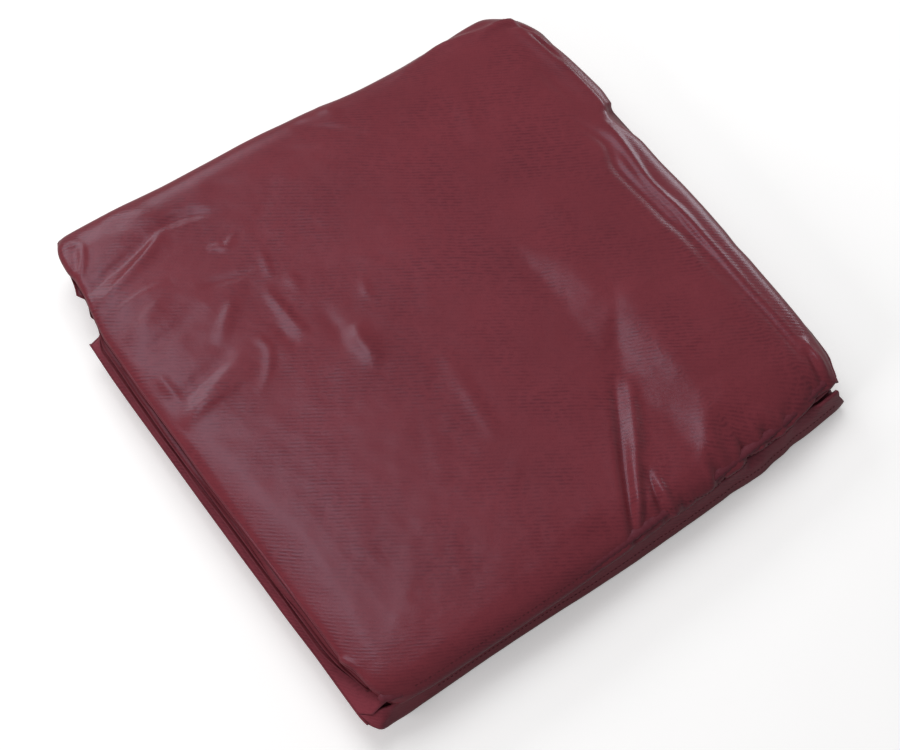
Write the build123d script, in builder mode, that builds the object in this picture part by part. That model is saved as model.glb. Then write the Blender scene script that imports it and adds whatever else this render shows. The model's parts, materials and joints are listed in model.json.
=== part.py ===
from build123d import *
import os

# Folded fabric spa cover: a fitted cap of coated polyester cloth, folded to a
# flat square packet.  The cloth is first folded across its width into a strip
# (creased along +Y, hems along -Y) and the strip is then Z-folded into three
# leaves: bottom, middle and top.
#   upper fold: joins middle and top leaf along the +X edge
#   lower fold: joins bottom and middle leaf along the -X edge
# Frame: +Z up, origin at the bottom centre of the packet.  Millimetres.

# ---------------------------------------------------------------- dimensions
HALF = 211.5            # half of the packet's overall width and depth
PLY = 1.2               # a double thickness of coated cloth, lightly stacked
GAP = 0.2               # half of the air gap between two leaves
LOWER_FOLD_Z = 24.0
UPPER_FOLD_Z = 32.0
PACKET_TOP_Z = 46.0
BEAD_R = 1.2            # radius of the turned cloth along a fold line
LOWER_FOLD_X = -(HALF - BEAD_R)
UPPER_FOLD_X = 202.4    # upper fold line where it crosses Y = 0
FOLD_SLOPE = 0.04       # the elastic hem pulls the -Y end of the upper fold in
CLEAR = 1.6             # distance kept by the leaves from a fold line

# leaf extents; MID_Z is the height at which the +Y crease bulges furthest,
# BEND_Y is where the flat underside turns up into the crease
BOTTOM_X1 = 190.0
BOTTOM_Y0, BOTTOM_Y1 = -HALF, 200.0
BOTTOM_Z0, BOTTOM_Z1 = 0.0, LOWER_FOLD_Z - GAP
BOTTOM_MID_Z = (BOTTOM_Z0 + BOTTOM_Z1) / 2
BOTTOM_BEND_Y = BOTTOM_Y1 - 12.0

MIDDLE_Y0, MIDDLE_Y1 = -203.0, 202.0
MIDDLE_Z0, MIDDLE_Z1 = LOWER_FOLD_Z + GAP, UPPER_FOLD_Z - GAP
MIDDLE_MID_Z = (MIDDLE_Z0 + MIDDLE_Z1) / 2
MIDDLE_BEND_Y = MIDDLE_Y1 - 4.0

TOP_X0 = -203.0
TOP_Y0, TOP_Y1 = -207.0, HALF
TOP_Z0, TOP_Z1 = UPPER_FOLD_Z + GAP, PACKET_TOP_Z
TOP_MID_Z = (TOP_Z0 + TOP_Z1) / 2 - 0.5
TOP_BEND_Y = TOP_Y1 - 7.0
TOP_CROWN_Y0 = TOP_Y0 + 12.0    # -Y end of the crowned upper face
TOP_CROWN_Y1 = TOP_Y1 - 9.0     # +Y end of the crowned upper face

# tucked-in corner of the two lower leaves at -X, +Y
NOTCH_X, NOTCH_Y = -190.0, 137.0

# hems, elastic cords and stitching
CORD_R = 1.25           # 2.5 mm elastic cord
TUNNEL_R = 1.4          # hem tunnel round the cord
THREAD_R = 0.35         # bonded polyester sewing thread
GROOVE_R = 0.5          # channel pulled into the hem by the stitches
HEM_WIDTH = 8.0         # depth of the turned hem
HEM_X1 = 178.0          # +X end of the hems of the middle and top leaves
CORD_INSET = 1.0        # cord and thread stop this far inside the hem's ends
END_ROUND = 0.5         # rounding on the ends of cords and fold beads
BOTTOM_HEM_Z = 9.5
TOP_HEM_Z = TOP_Z0 + PLY + 2.75

# loose plies inside the leaves
BOTTOM_PLY = 1.5
UPPER_PLY = 1.2         # in the middle and top leaves
PANEL_CORNER_R = 6
SKIRT_CORNER_R = 8
BOTTOM_LEVELS = [BOTTOM_Z0 + PLY + 0.5 + 2.1 * i for i in range(10)]
MIDDLE_LEVELS = [MIDDLE_Z0 + PLY + 0.3 + 1.7 * i for i in range(3)]
TOP_LEVELS = [TOP_Z0 + PLY + 0.5 + 1.6 * i for i in range(6)]

# construction bodies that run past the packet on every side
REACH = 300             # extrusion each way from a section plane
PLAN_HALF = 260         # half width of the plan outline
PLAN_Z0, PLAN_HEIGHT = -5, 60
SECTION_FAR = -480      # inner end of a section square to the upper fold

# section plane square to the upper fold line: local X outward, local Y up,
# local X = 0 on the fold line
FOLD_LEN = (1 + FOLD_SLOPE**2) ** 0.5
UPPER_PLANE = Plane(
    origin=(UPPER_FOLD_X, 0, 0),
    x_dir=(1 / FOLD_LEN, -FOLD_SLOPE / FOLD_LEN, 0),
    z_dir=(-FOLD_SLOPE / FOLD_LEN, -1 / FOLD_LEN, 0),
)


# ============================================================= SHARED SHAPES
def notched_plan(inset=0.0):
    """Plan points past the packet, less the tucked-in corner grown by inset."""
    x = NOTCH_X + inset
    y = NOTCH_Y - inset
    return [
        (-PLAN_HALF, -PLAN_HALF), (PLAN_HALF, -PLAN_HALF), (PLAN_HALF, PLAN_HALF),
        (x, PLAN_HALF), (x, y), (-PLAN_HALF, y),
    ]


def plies(levels, thickness, corner_r, x0, x1, y0, y1, slope=0.0):
    """Flat plies at the given heights; x1 is the +X edge where it crosses
    Y = 0, and slope is that edge's change in X per unit of Y."""
    with BuildPart() as stack:
        with BuildSketch(*[Plane.XY.offset(z) for z in levels]) as outline:
            with BuildLine():
                Polyline(
                    (x0, y0), (x1 + slope * y0, y0),
                    (x1 + slope * y1, y1), (x0, y1), close=True,
                )
            make_face()
            fillet(outline.vertices(), radius=corner_r)
        extrude(amount=thickness)
    return stack.part


def hem(x0, x1, edge_y, cord_y, z, height):
    """Cloth turned twice round the cord tunnel, grooved along its -Y edge."""
    with BuildPart() as body:
        with BuildSketch(Plane.YZ.offset(x0)):
            with Locations((edge_y + HEM_WIDTH / 2, z)):
                SlotOverall(HEM_WIDTH, height)
            with Locations((cord_y, z)):
                Circle(TUNNEL_R, mode=Mode.SUBTRACT)
            with Locations((edge_y, z)):
                Circle(GROOVE_R, mode=Mode.SUBTRACT)
        extrude(amount=x1 - x0)
    return body.part


def rod(plane, x, y, radius, length, end_round=0.0):
    """Round rod from local (x, y) along the plane's normal."""
    with BuildPart() as body:
        with BuildSketch(plane):
            with Locations((x, y)):
                Circle(radius)
        extrude(amount=length)
        if end_round:
            fillet(body.edges().filter_by(GeomType.CIRCLE), radius=end_round)
    return body.part


def hem_pieces(leaf, x0, x1, edge_y, cord_y, z, height):
    """Hem of one leaf with its elastic cord and hem thread, by piece name."""
    cord_plane = Plane.YZ.offset(x0 + CORD_INSET)
    cord_length = x1 - x0 - 2 * CORD_INSET
    return {
        f"{leaf}_hem": hem(x0, x1, edge_y, cord_y, z, height),
        f"{leaf}_elastic_cord": rod(cord_plane, cord_y, z, CORD_R, cord_length, END_ROUND),
        f"{leaf}_hem_thread": rod(cord_plane, edge_y, z, THREAD_R, cord_length),
    }


# =============================================================== BOTTOM LEAF
def bottom_core():
    """Space inside the bottom leaf's outer ply, used to hollow it."""
    floor = BOTTOM_Z0 + PLY
    roof = BOTTOM_Z1 - PLY
    hem_side = BOTTOM_Y0 + PLY
    open_end = BOTTOM_X1 + 1.0
    with BuildPart() as core:
        with BuildSketch(Plane.YZ):
            with BuildLine():
                Line((hem_side, floor), (BOTTOM_BEND_Y, floor))
                ThreePointArc(
                    (BOTTOM_BEND_Y, floor),
                    (BOTTOM_Y1 - PLY, BOTTOM_MID_Z),
                    (BOTTOM_BEND_Y, roof),
                )
                Line((BOTTOM_BEND_Y, roof), (BOTTOM_Y0 + 9.0, roof))
                Spline(
                    (BOTTOM_Y0 + 9.0, roof),
                    (hem_side + 1.8, BOTTOM_Z1 - 6.0),
                    (hem_side, floor + 6.0),
                    tangents=((-1, 0), (0, -1)),
                )
                Line((hem_side, floor + 6.0), (hem_side, floor))
            make_face()
        extrude(amount=REACH, both=True)
        with BuildSketch(Plane.XZ):
            with BuildLine():
                Line((LOWER_FOLD_X + 26.0, floor), (open_end, floor))
                Line((open_end, floor), (open_end, roof))
                Line((open_end, roof), (LOWER_FOLD_X + CLEAR + 5.0, roof))
                ThreePointArc(
                    (LOWER_FOLD_X + CLEAR + 5.0, roof),
                    (LOWER_FOLD_X + 12.0, BOTTOM_Z0 + 9.0),
                    (LOWER_FOLD_X + 26.0, floor),
                )
            make_face()
        extrude(amount=REACH, both=True, mode=Mode.INTERSECT)
        with BuildSketch(Plane.XY.offset(PLAN_Z0)):
            with BuildLine():
                Polyline(*notched_plan(PLY), close=True)
            make_face()
        extrude(amount=PLAN_HEIGHT, mode=Mode.INTERSECT)
    return core.part


def bottom_outer_ply():
    """Cloth wrapped round the leaf, closed at the lower fold and +Y crease,
    slotted along the hem side (-Y), open at the cover's free end (+X)."""
    core = bottom_core()
    hem_turn_z = BOTTOM_Z0 + 7.0
    slot_depth = PLY + 1.5
    with BuildPart() as ply:
        with BuildSketch(Plane.YZ):
            with BuildLine():
                Line((BOTTOM_Y0 + 5.0, BOTTOM_Z0), (BOTTOM_BEND_Y, BOTTOM_Z0))
                ThreePointArc(
                    (BOTTOM_BEND_Y, BOTTOM_Z0),
                    (BOTTOM_Y1, BOTTOM_MID_Z),
                    (BOTTOM_BEND_Y, BOTTOM_Z1),
                )
                Line((BOTTOM_BEND_Y, BOTTOM_Z1), (BOTTOM_Y0 + 10.0, BOTTOM_Z1))
                Spline(
                    (BOTTOM_Y0 + 10.0, BOTTOM_Z1),
                    (BOTTOM_Y0 + 2.2, BOTTOM_Z1 - 6.0),
                    (BOTTOM_Y0, hem_turn_z),
                    tangents=((-1, 0), (0, -1)),
                )
                Spline(
                    (BOTTOM_Y0, hem_turn_z),
                    (BOTTOM_Y0 + 5.0, BOTTOM_Z0),
                    tangents=((0, -1), (1, 0)),
                )
            make_face()
        extrude(amount=REACH, both=True)
        with BuildSketch(Plane.XZ):
            with BuildLine():
                Line((LOWER_FOLD_X + 26.0, BOTTOM_Z0), (BOTTOM_X1, BOTTOM_Z0))
                Line((BOTTOM_X1, BOTTOM_Z0), (BOTTOM_X1, BOTTOM_Z1))
                Line((BOTTOM_X1, BOTTOM_Z1), (LOWER_FOLD_X + CLEAR, BOTTOM_Z1))
                ThreePointArc(
                    (LOWER_FOLD_X + CLEAR, BOTTOM_Z1),
                    (LOWER_FOLD_X + 9.5, BOTTOM_Z0 + 9.0),
                    (LOWER_FOLD_X + 26.0, BOTTOM_Z0),
                )
            make_face()
        extrude(amount=REACH, both=True, mode=Mode.INTERSECT)
        with BuildSketch(Plane.XY.offset(PLAN_Z0)):
            with BuildLine():
                Polyline(*notched_plan(), close=True)
            make_face()
        extrude(amount=PLAN_HEIGHT, mode=Mode.INTERSECT)
        add(core, mode=Mode.SUBTRACT)
        # slot along the hem side
        with BuildSketch(Plane.YZ):
            with Locations((BOTTOM_Y0, BOTTOM_HEM_Z)):
                Rectangle(2 * slot_depth, 6.4)
        extrude(amount=REACH, both=True, mode=Mode.SUBTRACT)
    return ply.part


# =============================================================== MIDDLE LEAF
def middle_core():
    """Space inside the middle leaf's outer ply, used to hollow it."""
    floor = MIDDLE_Z0 + PLY
    roof = MIDDLE_Z1 - PLY
    open_side = MIDDLE_Y0 - 1.0
    with BuildPart() as core:
        with BuildSketch(Plane.YZ):
            with BuildLine():
                Line((open_side, floor), (MIDDLE_BEND_Y, floor))
                ThreePointArc(
                    (MIDDLE_BEND_Y, floor),
                    (MIDDLE_Y1 - PLY, MIDDLE_MID_Z),
                    (MIDDLE_BEND_Y, roof),
                )
                Line((MIDDLE_BEND_Y, roof), (open_side, roof))
                Line((open_side, roof), (open_side, floor))
            make_face()
        extrude(amount=REACH, both=True)
        with BuildSketch(Plane.XZ):
            with BuildLine():
                Polyline(
                    (LOWER_FOLD_X + CLEAR + 1.8, floor), (PLAN_HALF, floor),
                    (PLAN_HALF, roof), (LOWER_FOLD_X + 9.0, roof),
                    close=True,
                )
            make_face()
        extrude(amount=REACH, both=True, mode=Mode.INTERSECT)
        with BuildSketch(UPPER_PLANE):
            with BuildLine():
                Polyline(
                    (SECTION_FAR, floor), (-10.0, floor),
                    (-CLEAR - 1.8, roof), (SECTION_FAR, roof),
                    close=True,
                )
            make_face()
        extrude(amount=REACH, both=True, mode=Mode.INTERSECT)
        with BuildSketch(Plane.XY.offset(PLAN_Z0)):
            with BuildLine():
                Polyline(*notched_plan(PLY), close=True)
            make_face()
        extrude(amount=PLAN_HEIGHT, mode=Mode.INTERSECT)
    return core.part


def middle_outer_ply():
    """Cloth closed at both folds and the +Y crease, open along the hem (-Y)."""
    core = middle_core()
    with BuildPart() as ply:
        with BuildSketch(Plane.YZ):
            with BuildLine():
                Line((MIDDLE_Y0, MIDDLE_Z0), (MIDDLE_BEND_Y, MIDDLE_Z0))
                ThreePointArc(
                    (MIDDLE_BEND_Y, MIDDLE_Z0),
                    (MIDDLE_Y1, MIDDLE_MID_Z),
                    (MIDDLE_BEND_Y, MIDDLE_Z1),
                )
                Line((MIDDLE_BEND_Y, MIDDLE_Z1), (MIDDLE_Y0, MIDDLE_Z1))
                Line((MIDDLE_Y0, MIDDLE_Z1), (MIDDLE_Y0, MIDDLE_Z0))
            make_face()
        extrude(amount=REACH, both=True)
        with BuildSketch(Plane.XZ):
            with BuildLine():
                Polyline(
                    (LOWER_FOLD_X + CLEAR, MIDDLE_Z0), (PLAN_HALF, MIDDLE_Z0),
                    (PLAN_HALF, MIDDLE_Z1), (LOWER_FOLD_X + 9.0, MIDDLE_Z1),
                )
                ThreePointArc(
                    (LOWER_FOLD_X + 9.0, MIDDLE_Z1),
                    (LOWER_FOLD_X + 4.0, MIDDLE_Z1 - 3.0),
                    (LOWER_FOLD_X + CLEAR, MIDDLE_Z0),
                )
            make_face()
        extrude(amount=REACH, both=True, mode=Mode.INTERSECT)
        with BuildSketch(UPPER_PLANE):
            with BuildLine():
                Line((SECTION_FAR, MIDDLE_Z0), (-9.0, MIDDLE_Z0))
                ThreePointArc(
                    (-9.0, MIDDLE_Z0), (-4.0, MIDDLE_Z0 + 3.0), (-CLEAR, MIDDLE_Z1)
                )
                Polyline(
                    (-CLEAR, MIDDLE_Z1), (SECTION_FAR, MIDDLE_Z1), (SECTION_FAR, MIDDLE_Z0)
                )
            make_face()
        extrude(amount=REACH, both=True, mode=Mode.INTERSECT)
        with BuildSketch(Plane.XY.offset(PLAN_Z0)):
            with BuildLine():
                Polyline(*notched_plan(), close=True)
            make_face()
        extrude(amount=PLAN_HEIGHT, mode=Mode.INTERSECT)
        add(core, mode=Mode.SUBTRACT)
    return ply.part


# ================================================================== TOP LEAF
def top_core():
    """Space inside the top leaf's outer ply, used to hollow it."""
    floor = TOP_Z0 + PLY
    roof = TOP_Z1 - PLY
    hem_side = TOP_Y0 + PLY
    section_roof = roof + 0.5       # above the crown
    with BuildPart() as core:
        with BuildSketch(Plane.YZ):
            with BuildLine():
                Line((hem_side, floor), (TOP_BEND_Y, floor))
                ThreePointArc(
                    (TOP_BEND_Y, floor),
                    (TOP_Y1 - PLY, TOP_MID_Z),
                    (TOP_CROWN_Y1, roof - 1.0),
                )
                ThreePointArc(
                    (TOP_CROWN_Y1, roof - 1.0), (0, roof), (TOP_CROWN_Y0, roof - 1.5)
                )
                Spline(
                    (TOP_CROWN_Y0, roof - 1.5),
                    (TOP_Y0 + 4.4, TOP_Z1 - 6.5),
                    (hem_side, floor + 4.5),
                    tangents=((-1, -0.02), (0, -1)),
                )
                Line((hem_side, floor + 4.5), (hem_side, floor))
            make_face()
        extrude(amount=REACH, both=True)
        with BuildSketch(UPPER_PLANE):
            with BuildLine():
                Line((SECTION_FAR, floor), (-CLEAR - 1.6, floor))
                ThreePointArc(
                    (-CLEAR - 1.6, floor), (-7.0, TOP_Z1 - 6.5), (-18.0, section_roof)
                )
                Line((-18.0, section_roof), (SECTION_FAR, section_roof))
                Line((SECTION_FAR, section_roof), (SECTION_FAR, floor))
            make_face()
        extrude(amount=REACH, both=True, mode=Mode.INTERSECT)
        split(bisect_by=Plane.YZ.offset(TOP_X0 - 1.0), keep=Keep.TOP)
    return core.part


def top_outer_ply():
    """Cloth closed at the upper fold and the +Y crease, slotted along the hem
    side (-Y), open at the cover's free end (-X)."""
    core = top_core()
    hem_turn_z = TOP_Z0 + 5.7
    section_roof = TOP_Z1 + 1.0     # above the crown
    slot_depth = PLY + 1.2
    slot_height = 5.4
    with BuildPart() as ply:
        with BuildSketch(Plane.YZ):
            with BuildLine():
                Line((TOP_Y0, TOP_Z0), (TOP_BEND_Y, TOP_Z0))
                ThreePointArc(
                    (TOP_BEND_Y, TOP_Z0), (TOP_Y1, TOP_MID_Z), (TOP_CROWN_Y1, TOP_Z1 - 1.0)
                )
                ThreePointArc(
                    (TOP_CROWN_Y1, TOP_Z1 - 1.0), (0, TOP_Z1), (TOP_CROWN_Y0, TOP_Z1 - 1.5)
                )
                Spline(
                    (TOP_CROWN_Y0, TOP_Z1 - 1.5),
                    (TOP_Y0 + 3.2, TOP_Z1 - 5.5),
                    (TOP_Y0, hem_turn_z),
                    tangents=((-1, -0.02), (0, -1)),
                )
                Line((TOP_Y0, hem_turn_z), (TOP_Y0, TOP_Z0))
            make_face()
        extrude(amount=REACH, both=True)
        with BuildSketch(UPPER_PLANE):
            with BuildLine():
                Line((SECTION_FAR, TOP_Z0), (-CLEAR, TOP_Z0))
                ThreePointArc((-CLEAR, TOP_Z0), (-5.5, TOP_Z1 - 5.5), (-18.0, section_roof))
                Line((-18.0, section_roof), (SECTION_FAR, section_roof))
                Line((SECTION_FAR, section_roof), (SECTION_FAR, TOP_Z0))
            make_face()
        extrude(amount=REACH, both=True, mode=Mode.INTERSECT)
        split(bisect_by=Plane.YZ.offset(TOP_X0), keep=Keep.TOP)
        add(core, mode=Mode.SUBTRACT)
        # slot along the hem side, under the turned-down edge
        with BuildSketch(Plane.YZ):
            with Locations((TOP_Y0, TOP_Z0 + PLY + slot_height / 2)):
                Rectangle(2 * slot_depth, slot_height)
        extrude(amount=REACH, both=True, mode=Mode.SUBTRACT)
    return ply.part


# ==================================================================== PIECES
pieces = {
    "bottom_leaf_outer_ply": bottom_outer_ply(),
    "middle_leaf_outer_ply": middle_outer_ply(),
    "top_leaf_outer_ply": top_outer_ply(),
}

# plies of the top panel folded up inside each leaf, and plies of the front
# and rear skirts, turned in between them
pieces["bottom_leaf_panel_plies"] = plies(
    [BOTTOM_LEVELS[i] for i in (0, 1, 3, 6, 7, 9)], BOTTOM_PLY, PANEL_CORNER_R,
    x0=-182, x1=BOTTOM_X1 - 3.0, y0=BOTTOM_Y0 + 12.5, y1=BOTTOM_BEND_Y,
)
pieces["bottom_leaf_skirt_plies"] = plies(
    [BOTTOM_LEVELS[i] for i in (2, 5, 8)], BOTTOM_PLY, SKIRT_CORNER_R,
    x0=-178, x1=BOTTOM_X1 - 6.0, y0=BOTTOM_Y0 + 14.0, y1=92.0,
)
pieces["middle_leaf_panel_plies"] = plies(
    [MIDDLE_LEVELS[i] for i in (0, 2)], UPPER_PLY, PANEL_CORNER_R,
    x0=-186, x1=UPPER_FOLD_X - 14.0, y0=MIDDLE_Y0 + 10.5, y1=MIDDLE_Y1 - 6.0,
    slope=FOLD_SLOPE,
)
pieces["middle_leaf_skirt_plies"] = plies(
    [MIDDLE_LEVELS[1]], UPPER_PLY, SKIRT_CORNER_R,
    x0=-182, x1=UPPER_FOLD_X - 18.0, y0=MIDDLE_Y0 + 11.5, y1=92.0,
    slope=FOLD_SLOPE,
)
pieces["top_leaf_panel_plies"] = plies(
    [TOP_LEVELS[i] for i in (0, 1, 3, 4)], UPPER_PLY, PANEL_CORNER_R,
    x0=TOP_X0 + 3.0, x1=UPPER_FOLD_X - 22.0, y0=TOP_Y0 + 12.5, y1=TOP_Y1 - 13.0,
    slope=FOLD_SLOPE,
)
pieces["top_leaf_skirt_plies"] = plies(
    [TOP_LEVELS[i] for i in (2, 5)], UPPER_PLY, SKIRT_CORNER_R,
    x0=TOP_X0 + 6.0, x1=UPPER_FOLD_X - 26.0, y0=TOP_Y0 + 14.0, y1=96.0,
    slope=FOLD_SLOPE,
)

# hems along -Y
pieces |= hem_pieces(
    "bottom_leaf", x0=-182, x1=BOTTOM_X1 - 4.0,
    edge_y=BOTTOM_Y0 + 0.8, cord_y=BOTTOM_Y0 + 5.2, z=BOTTOM_HEM_Z, height=5.6,
)
pieces |= hem_pieces(
    "middle_leaf", x0=-184, x1=HEM_X1,
    edge_y=MIDDLE_Y0 + 0.8, cord_y=MIDDLE_Y0 + 5.0, z=MIDDLE_MID_Z, height=4.6,
)
pieces |= hem_pieces(
    "top_leaf", x0=TOP_X0 + 4.0, x1=HEM_X1,
    edge_y=TOP_Y0 + 0.6, cord_y=TOP_Y0 + 5.0, z=TOP_HEM_Z, height=4.8,
)

# beads of turned cloth on which the leaves hinge, each run from +Y towards -Y
lower_bead_y1 = NOTCH_Y - 2.0
pieces["lower_fold_crease"] = rod(
    Plane.XZ.offset(-lower_bead_y1), LOWER_FOLD_X, LOWER_FOLD_Z, BEAD_R,
    length=lower_bead_y1 - (MIDDLE_Y0 + 2.0), end_round=END_ROUND,
)
upper_bead_y1 = MIDDLE_Y1 - 4.0
pieces["upper_fold_crease"] = rod(
    UPPER_PLANE.offset(-upper_bead_y1), 0, UPPER_FOLD_Z, BEAD_R,
    length=upper_bead_y1 - (MIDDLE_Y0 + 4.0), end_round=END_ROUND,
)

# ==================================================================== EXPORT
os.makedirs("parts", exist_ok=True)
for name, piece in pieces.items():
    piece.label = name
    export_step(piece, f"parts/{name}.step")
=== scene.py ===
"""Coated-cloth cover with an elastic hem, folded into a packet of three stacked leaves.

The packet lies on the floor (z = 0), about 410 mm square and 45 mm high. The bottom and middle
leaves join at the lower fold (-X), the middle and top leaves at the upper fold (+X). The hemmed
lips are at the front (-Y), the rounded creases at the back (+Y).
"""
import json
import math

import bpy
import numpy as np
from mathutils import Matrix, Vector

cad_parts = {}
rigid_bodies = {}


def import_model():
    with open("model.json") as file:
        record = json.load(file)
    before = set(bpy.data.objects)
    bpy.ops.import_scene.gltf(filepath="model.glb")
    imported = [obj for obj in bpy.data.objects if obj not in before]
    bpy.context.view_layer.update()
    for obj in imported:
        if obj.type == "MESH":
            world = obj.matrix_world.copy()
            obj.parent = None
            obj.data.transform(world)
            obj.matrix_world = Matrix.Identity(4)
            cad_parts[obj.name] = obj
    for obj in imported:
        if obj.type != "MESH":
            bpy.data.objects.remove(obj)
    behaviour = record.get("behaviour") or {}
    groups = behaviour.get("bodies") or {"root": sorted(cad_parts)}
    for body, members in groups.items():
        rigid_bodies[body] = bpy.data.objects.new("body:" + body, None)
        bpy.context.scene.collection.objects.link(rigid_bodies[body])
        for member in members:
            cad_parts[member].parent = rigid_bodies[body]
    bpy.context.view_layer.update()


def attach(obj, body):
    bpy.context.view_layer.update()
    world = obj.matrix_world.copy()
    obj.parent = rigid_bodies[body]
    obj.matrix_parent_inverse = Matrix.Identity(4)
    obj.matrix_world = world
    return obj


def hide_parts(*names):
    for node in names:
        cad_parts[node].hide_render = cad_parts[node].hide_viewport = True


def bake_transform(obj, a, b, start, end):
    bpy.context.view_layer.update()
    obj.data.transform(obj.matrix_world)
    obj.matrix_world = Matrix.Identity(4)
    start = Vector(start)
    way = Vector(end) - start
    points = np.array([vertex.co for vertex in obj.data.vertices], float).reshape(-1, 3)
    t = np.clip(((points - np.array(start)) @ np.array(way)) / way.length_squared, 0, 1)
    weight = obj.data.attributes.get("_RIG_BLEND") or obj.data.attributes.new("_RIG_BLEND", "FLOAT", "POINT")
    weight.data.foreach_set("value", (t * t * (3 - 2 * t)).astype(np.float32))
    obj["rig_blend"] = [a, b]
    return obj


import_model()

# Lengths are in millimetres until a mesh is made.
MM = 0.001
LOWER_FOLD_X = -210.3
LOWER_FOLD_Z = 24.0
UPPER_FOLD_Z = 32.0
UPPER_FOLD_MID_X = 202.4


def upper_fold_x(y):
    return UPPER_FOLD_MID_X + 0.04 * y


# ------------------------------------------------------------------ shaping helpers
def linear(start, end, value):
    """0 at start, 1 at end, held outside."""
    return np.clip((value - start) / (end - start), 0.0, 1.0)


def smoothstep(start, end, value):
    t = linear(start, end, value)
    return t * t * (3 - 2 * t)


def mix(a, b, t):
    return a * (1 - t) + b * t


def bell(*axes):
    """Gaussian hump over one or more (value, centre, width) axes."""
    return np.exp(-sum(((value - centre) / width) ** 2 for value, centre, width in axes))


def soft_positive(value, softness):
    """max(value, 0) with a rounded corner."""
    return softness * np.logaddexp(0, value / softness)


def lattice_noise(x, y, seed):
    """Smooth lattice noise in -1..1, the same on every run."""
    cell_x, cell_y = np.floor(x).astype(np.int64), np.floor(y).astype(np.int64)
    in_x, in_y = x - cell_x, y - cell_y

    def corner(a, b):
        n = (a * 374761393 + b * 668265263 + (seed + 17) * 974634777) & 0xFFFFFFFF
        n = ((n ^ (n >> 13)) * 1274126177) & 0xFFFFFFFF
        return ((n ^ (n >> 16)) & 0xFFFF) / 32767.5 - 1.0

    u = in_x * in_x * in_x * (in_x * (in_x * 6 - 15) + 10)
    v = in_y * in_y * in_y * (in_y * (in_y * 6 - 15) + 10)
    low = mix(corner(cell_x, cell_y), corner(cell_x + 1, cell_y), u)
    high = mix(corner(cell_x, cell_y + 1), corner(cell_x + 1, cell_y + 1), u)
    return mix(low, high, v)


def noise(x, y, scale, seed, octaves=2):
    """Sum of noise octaves, each laid twice at different turns to hide the lattice."""
    total, amplitude, weight = 0.0, 1.0, 0.0
    for k in range(octaves):
        for m, turn in enumerate((0.45, 1.22)):
            a = turn + 0.9 * k
            u = (x * math.cos(a) - y * math.sin(a)) / scale + 7.3 * m
            v = (x * math.sin(a) + y * math.cos(a)) / scale - 3.1 * m
            total = total + 0.7 * amplitude * lattice_noise(u, v, seed + 31 * k + 11 * m)
        weight += amplitude
        amplitude *= 0.5
        scale *= 0.5
    return total / weight


def noise_along(value, scale, seed, row=0):
    return noise(value, 0 * value + row, scale, seed)


def smooth_line(points, sigma):
    """Function through (argument, value) points, blurred by sigma mm."""
    xs = np.arange(points[0][0] - 60, points[-1][0] + 61, 1.0)
    ys = np.interp(xs, [p[0] for p in points], [p[1] for p in points])
    k = np.arange(-int(4 * sigma), int(4 * sigma) + 1)
    kernel = np.exp(-0.5 * (k / sigma) ** 2)
    padded = np.pad(ys, len(k) // 2, mode="edge")
    ys = np.convolve(padded, kernel / kernel.sum(), mode="valid")
    return lambda value: np.interp(value, xs, ys)


def catmull_rom(a, b, c, d, t):
    return 0.5 * (2 * b + (c - a) * t + (2 * a - 5 * b + 4 * c - d) * t**2
                  + (3 * b - a - 3 * c + d) * t**3)


def distances(path):
    """Distance along a path at each of its points."""
    return np.r_[0, np.cumsum(np.linalg.norm(np.diff(path, axis=0), axis=1))]


def resample(places, along_path, values):
    return np.stack([np.interp(places, along_path, column) for column in values.T], 1)


def curve(points, count):
    """Evenly spaced points along a smooth curve through the given points."""
    p = np.array(points, float)
    q = np.vstack([2 * p[0] - p[1], p, 2 * p[-1] - p[-2]])
    t = np.linspace(0, 1, 24, endpoint=False)[:, None]
    fine = np.vstack([catmull_rom(*q[i:i + 4], t) for i in range(len(p) - 1)] + [p[-1:]])
    s = distances(fine)
    return resample(np.linspace(0, s[-1], count), s, fine)


def unit(vectors):
    return vectors / np.maximum(np.linalg.norm(vectors, axis=-1, keepdims=True), 1e-9)


def normals(grid):
    return unit(np.cross(np.gradient(grid, axis=0), np.gradient(grid, axis=1)))


def along(profile, index, start=0):
    """Profile entry for each grid index, held at both ends."""
    return profile[np.clip(index - start, 0, len(profile) - 1)]


def pick(index, ends, *parts):
    """First part up to and including ends[0], the next up to ends[1], and so on."""
    return np.select([index <= end for end in ends], parts[:-1], parts[-1])


def shifted(edge, distance):
    return lambda value: edge(value) + distance


# -------------------------------------------------------------------- mesh helpers
def make_mesh(name, vertices, faces, weave, relief, face_side):
    """Smooth object from mm vertices, index arrays and the attributes the materials read."""
    mesh = bpy.data.meshes.new(name)
    mesh.vertices.add(len(vertices))
    mesh.vertices.foreach_set("co", (vertices * MM).astype(np.float32).ravel())
    sizes = np.concatenate([np.full(len(f), f.shape[1], np.int32) for f in faces])
    loops = np.concatenate([f.ravel() for f in faces]).astype(np.int32)
    mesh.loops.add(len(loops))
    mesh.loops.foreach_set("vertex_index", loops)
    mesh.polygons.add(len(sizes))
    mesh.polygons.foreach_set("loop_start", np.r_[0, np.cumsum(sizes)[:-1]].astype(np.int32))
    mesh.polygons.foreach_set("loop_total", sizes)
    mesh.update(calc_edges=True)
    mesh.validate(verbose=False)
    mesh.polygons.foreach_set("use_smooth", np.ones(len(mesh.polygons), bool))
    weave_data = mesh.attributes.new("weave", "FLOAT_VECTOR", "POINT").data
    weave_data.foreach_set("vector", (weave * MM).astype(np.float32).ravel())
    for key, values in (("relief", relief), ("face_side", face_side)):
        data = mesh.attributes.new(key, "FLOAT", "POINT").data
        data.foreach_set("value", values.astype(np.float32))
    mesh.update()
    ob = bpy.data.objects.new(name, mesh)
    bpy.context.scene.collection.objects.link(ob)
    return ob


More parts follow.
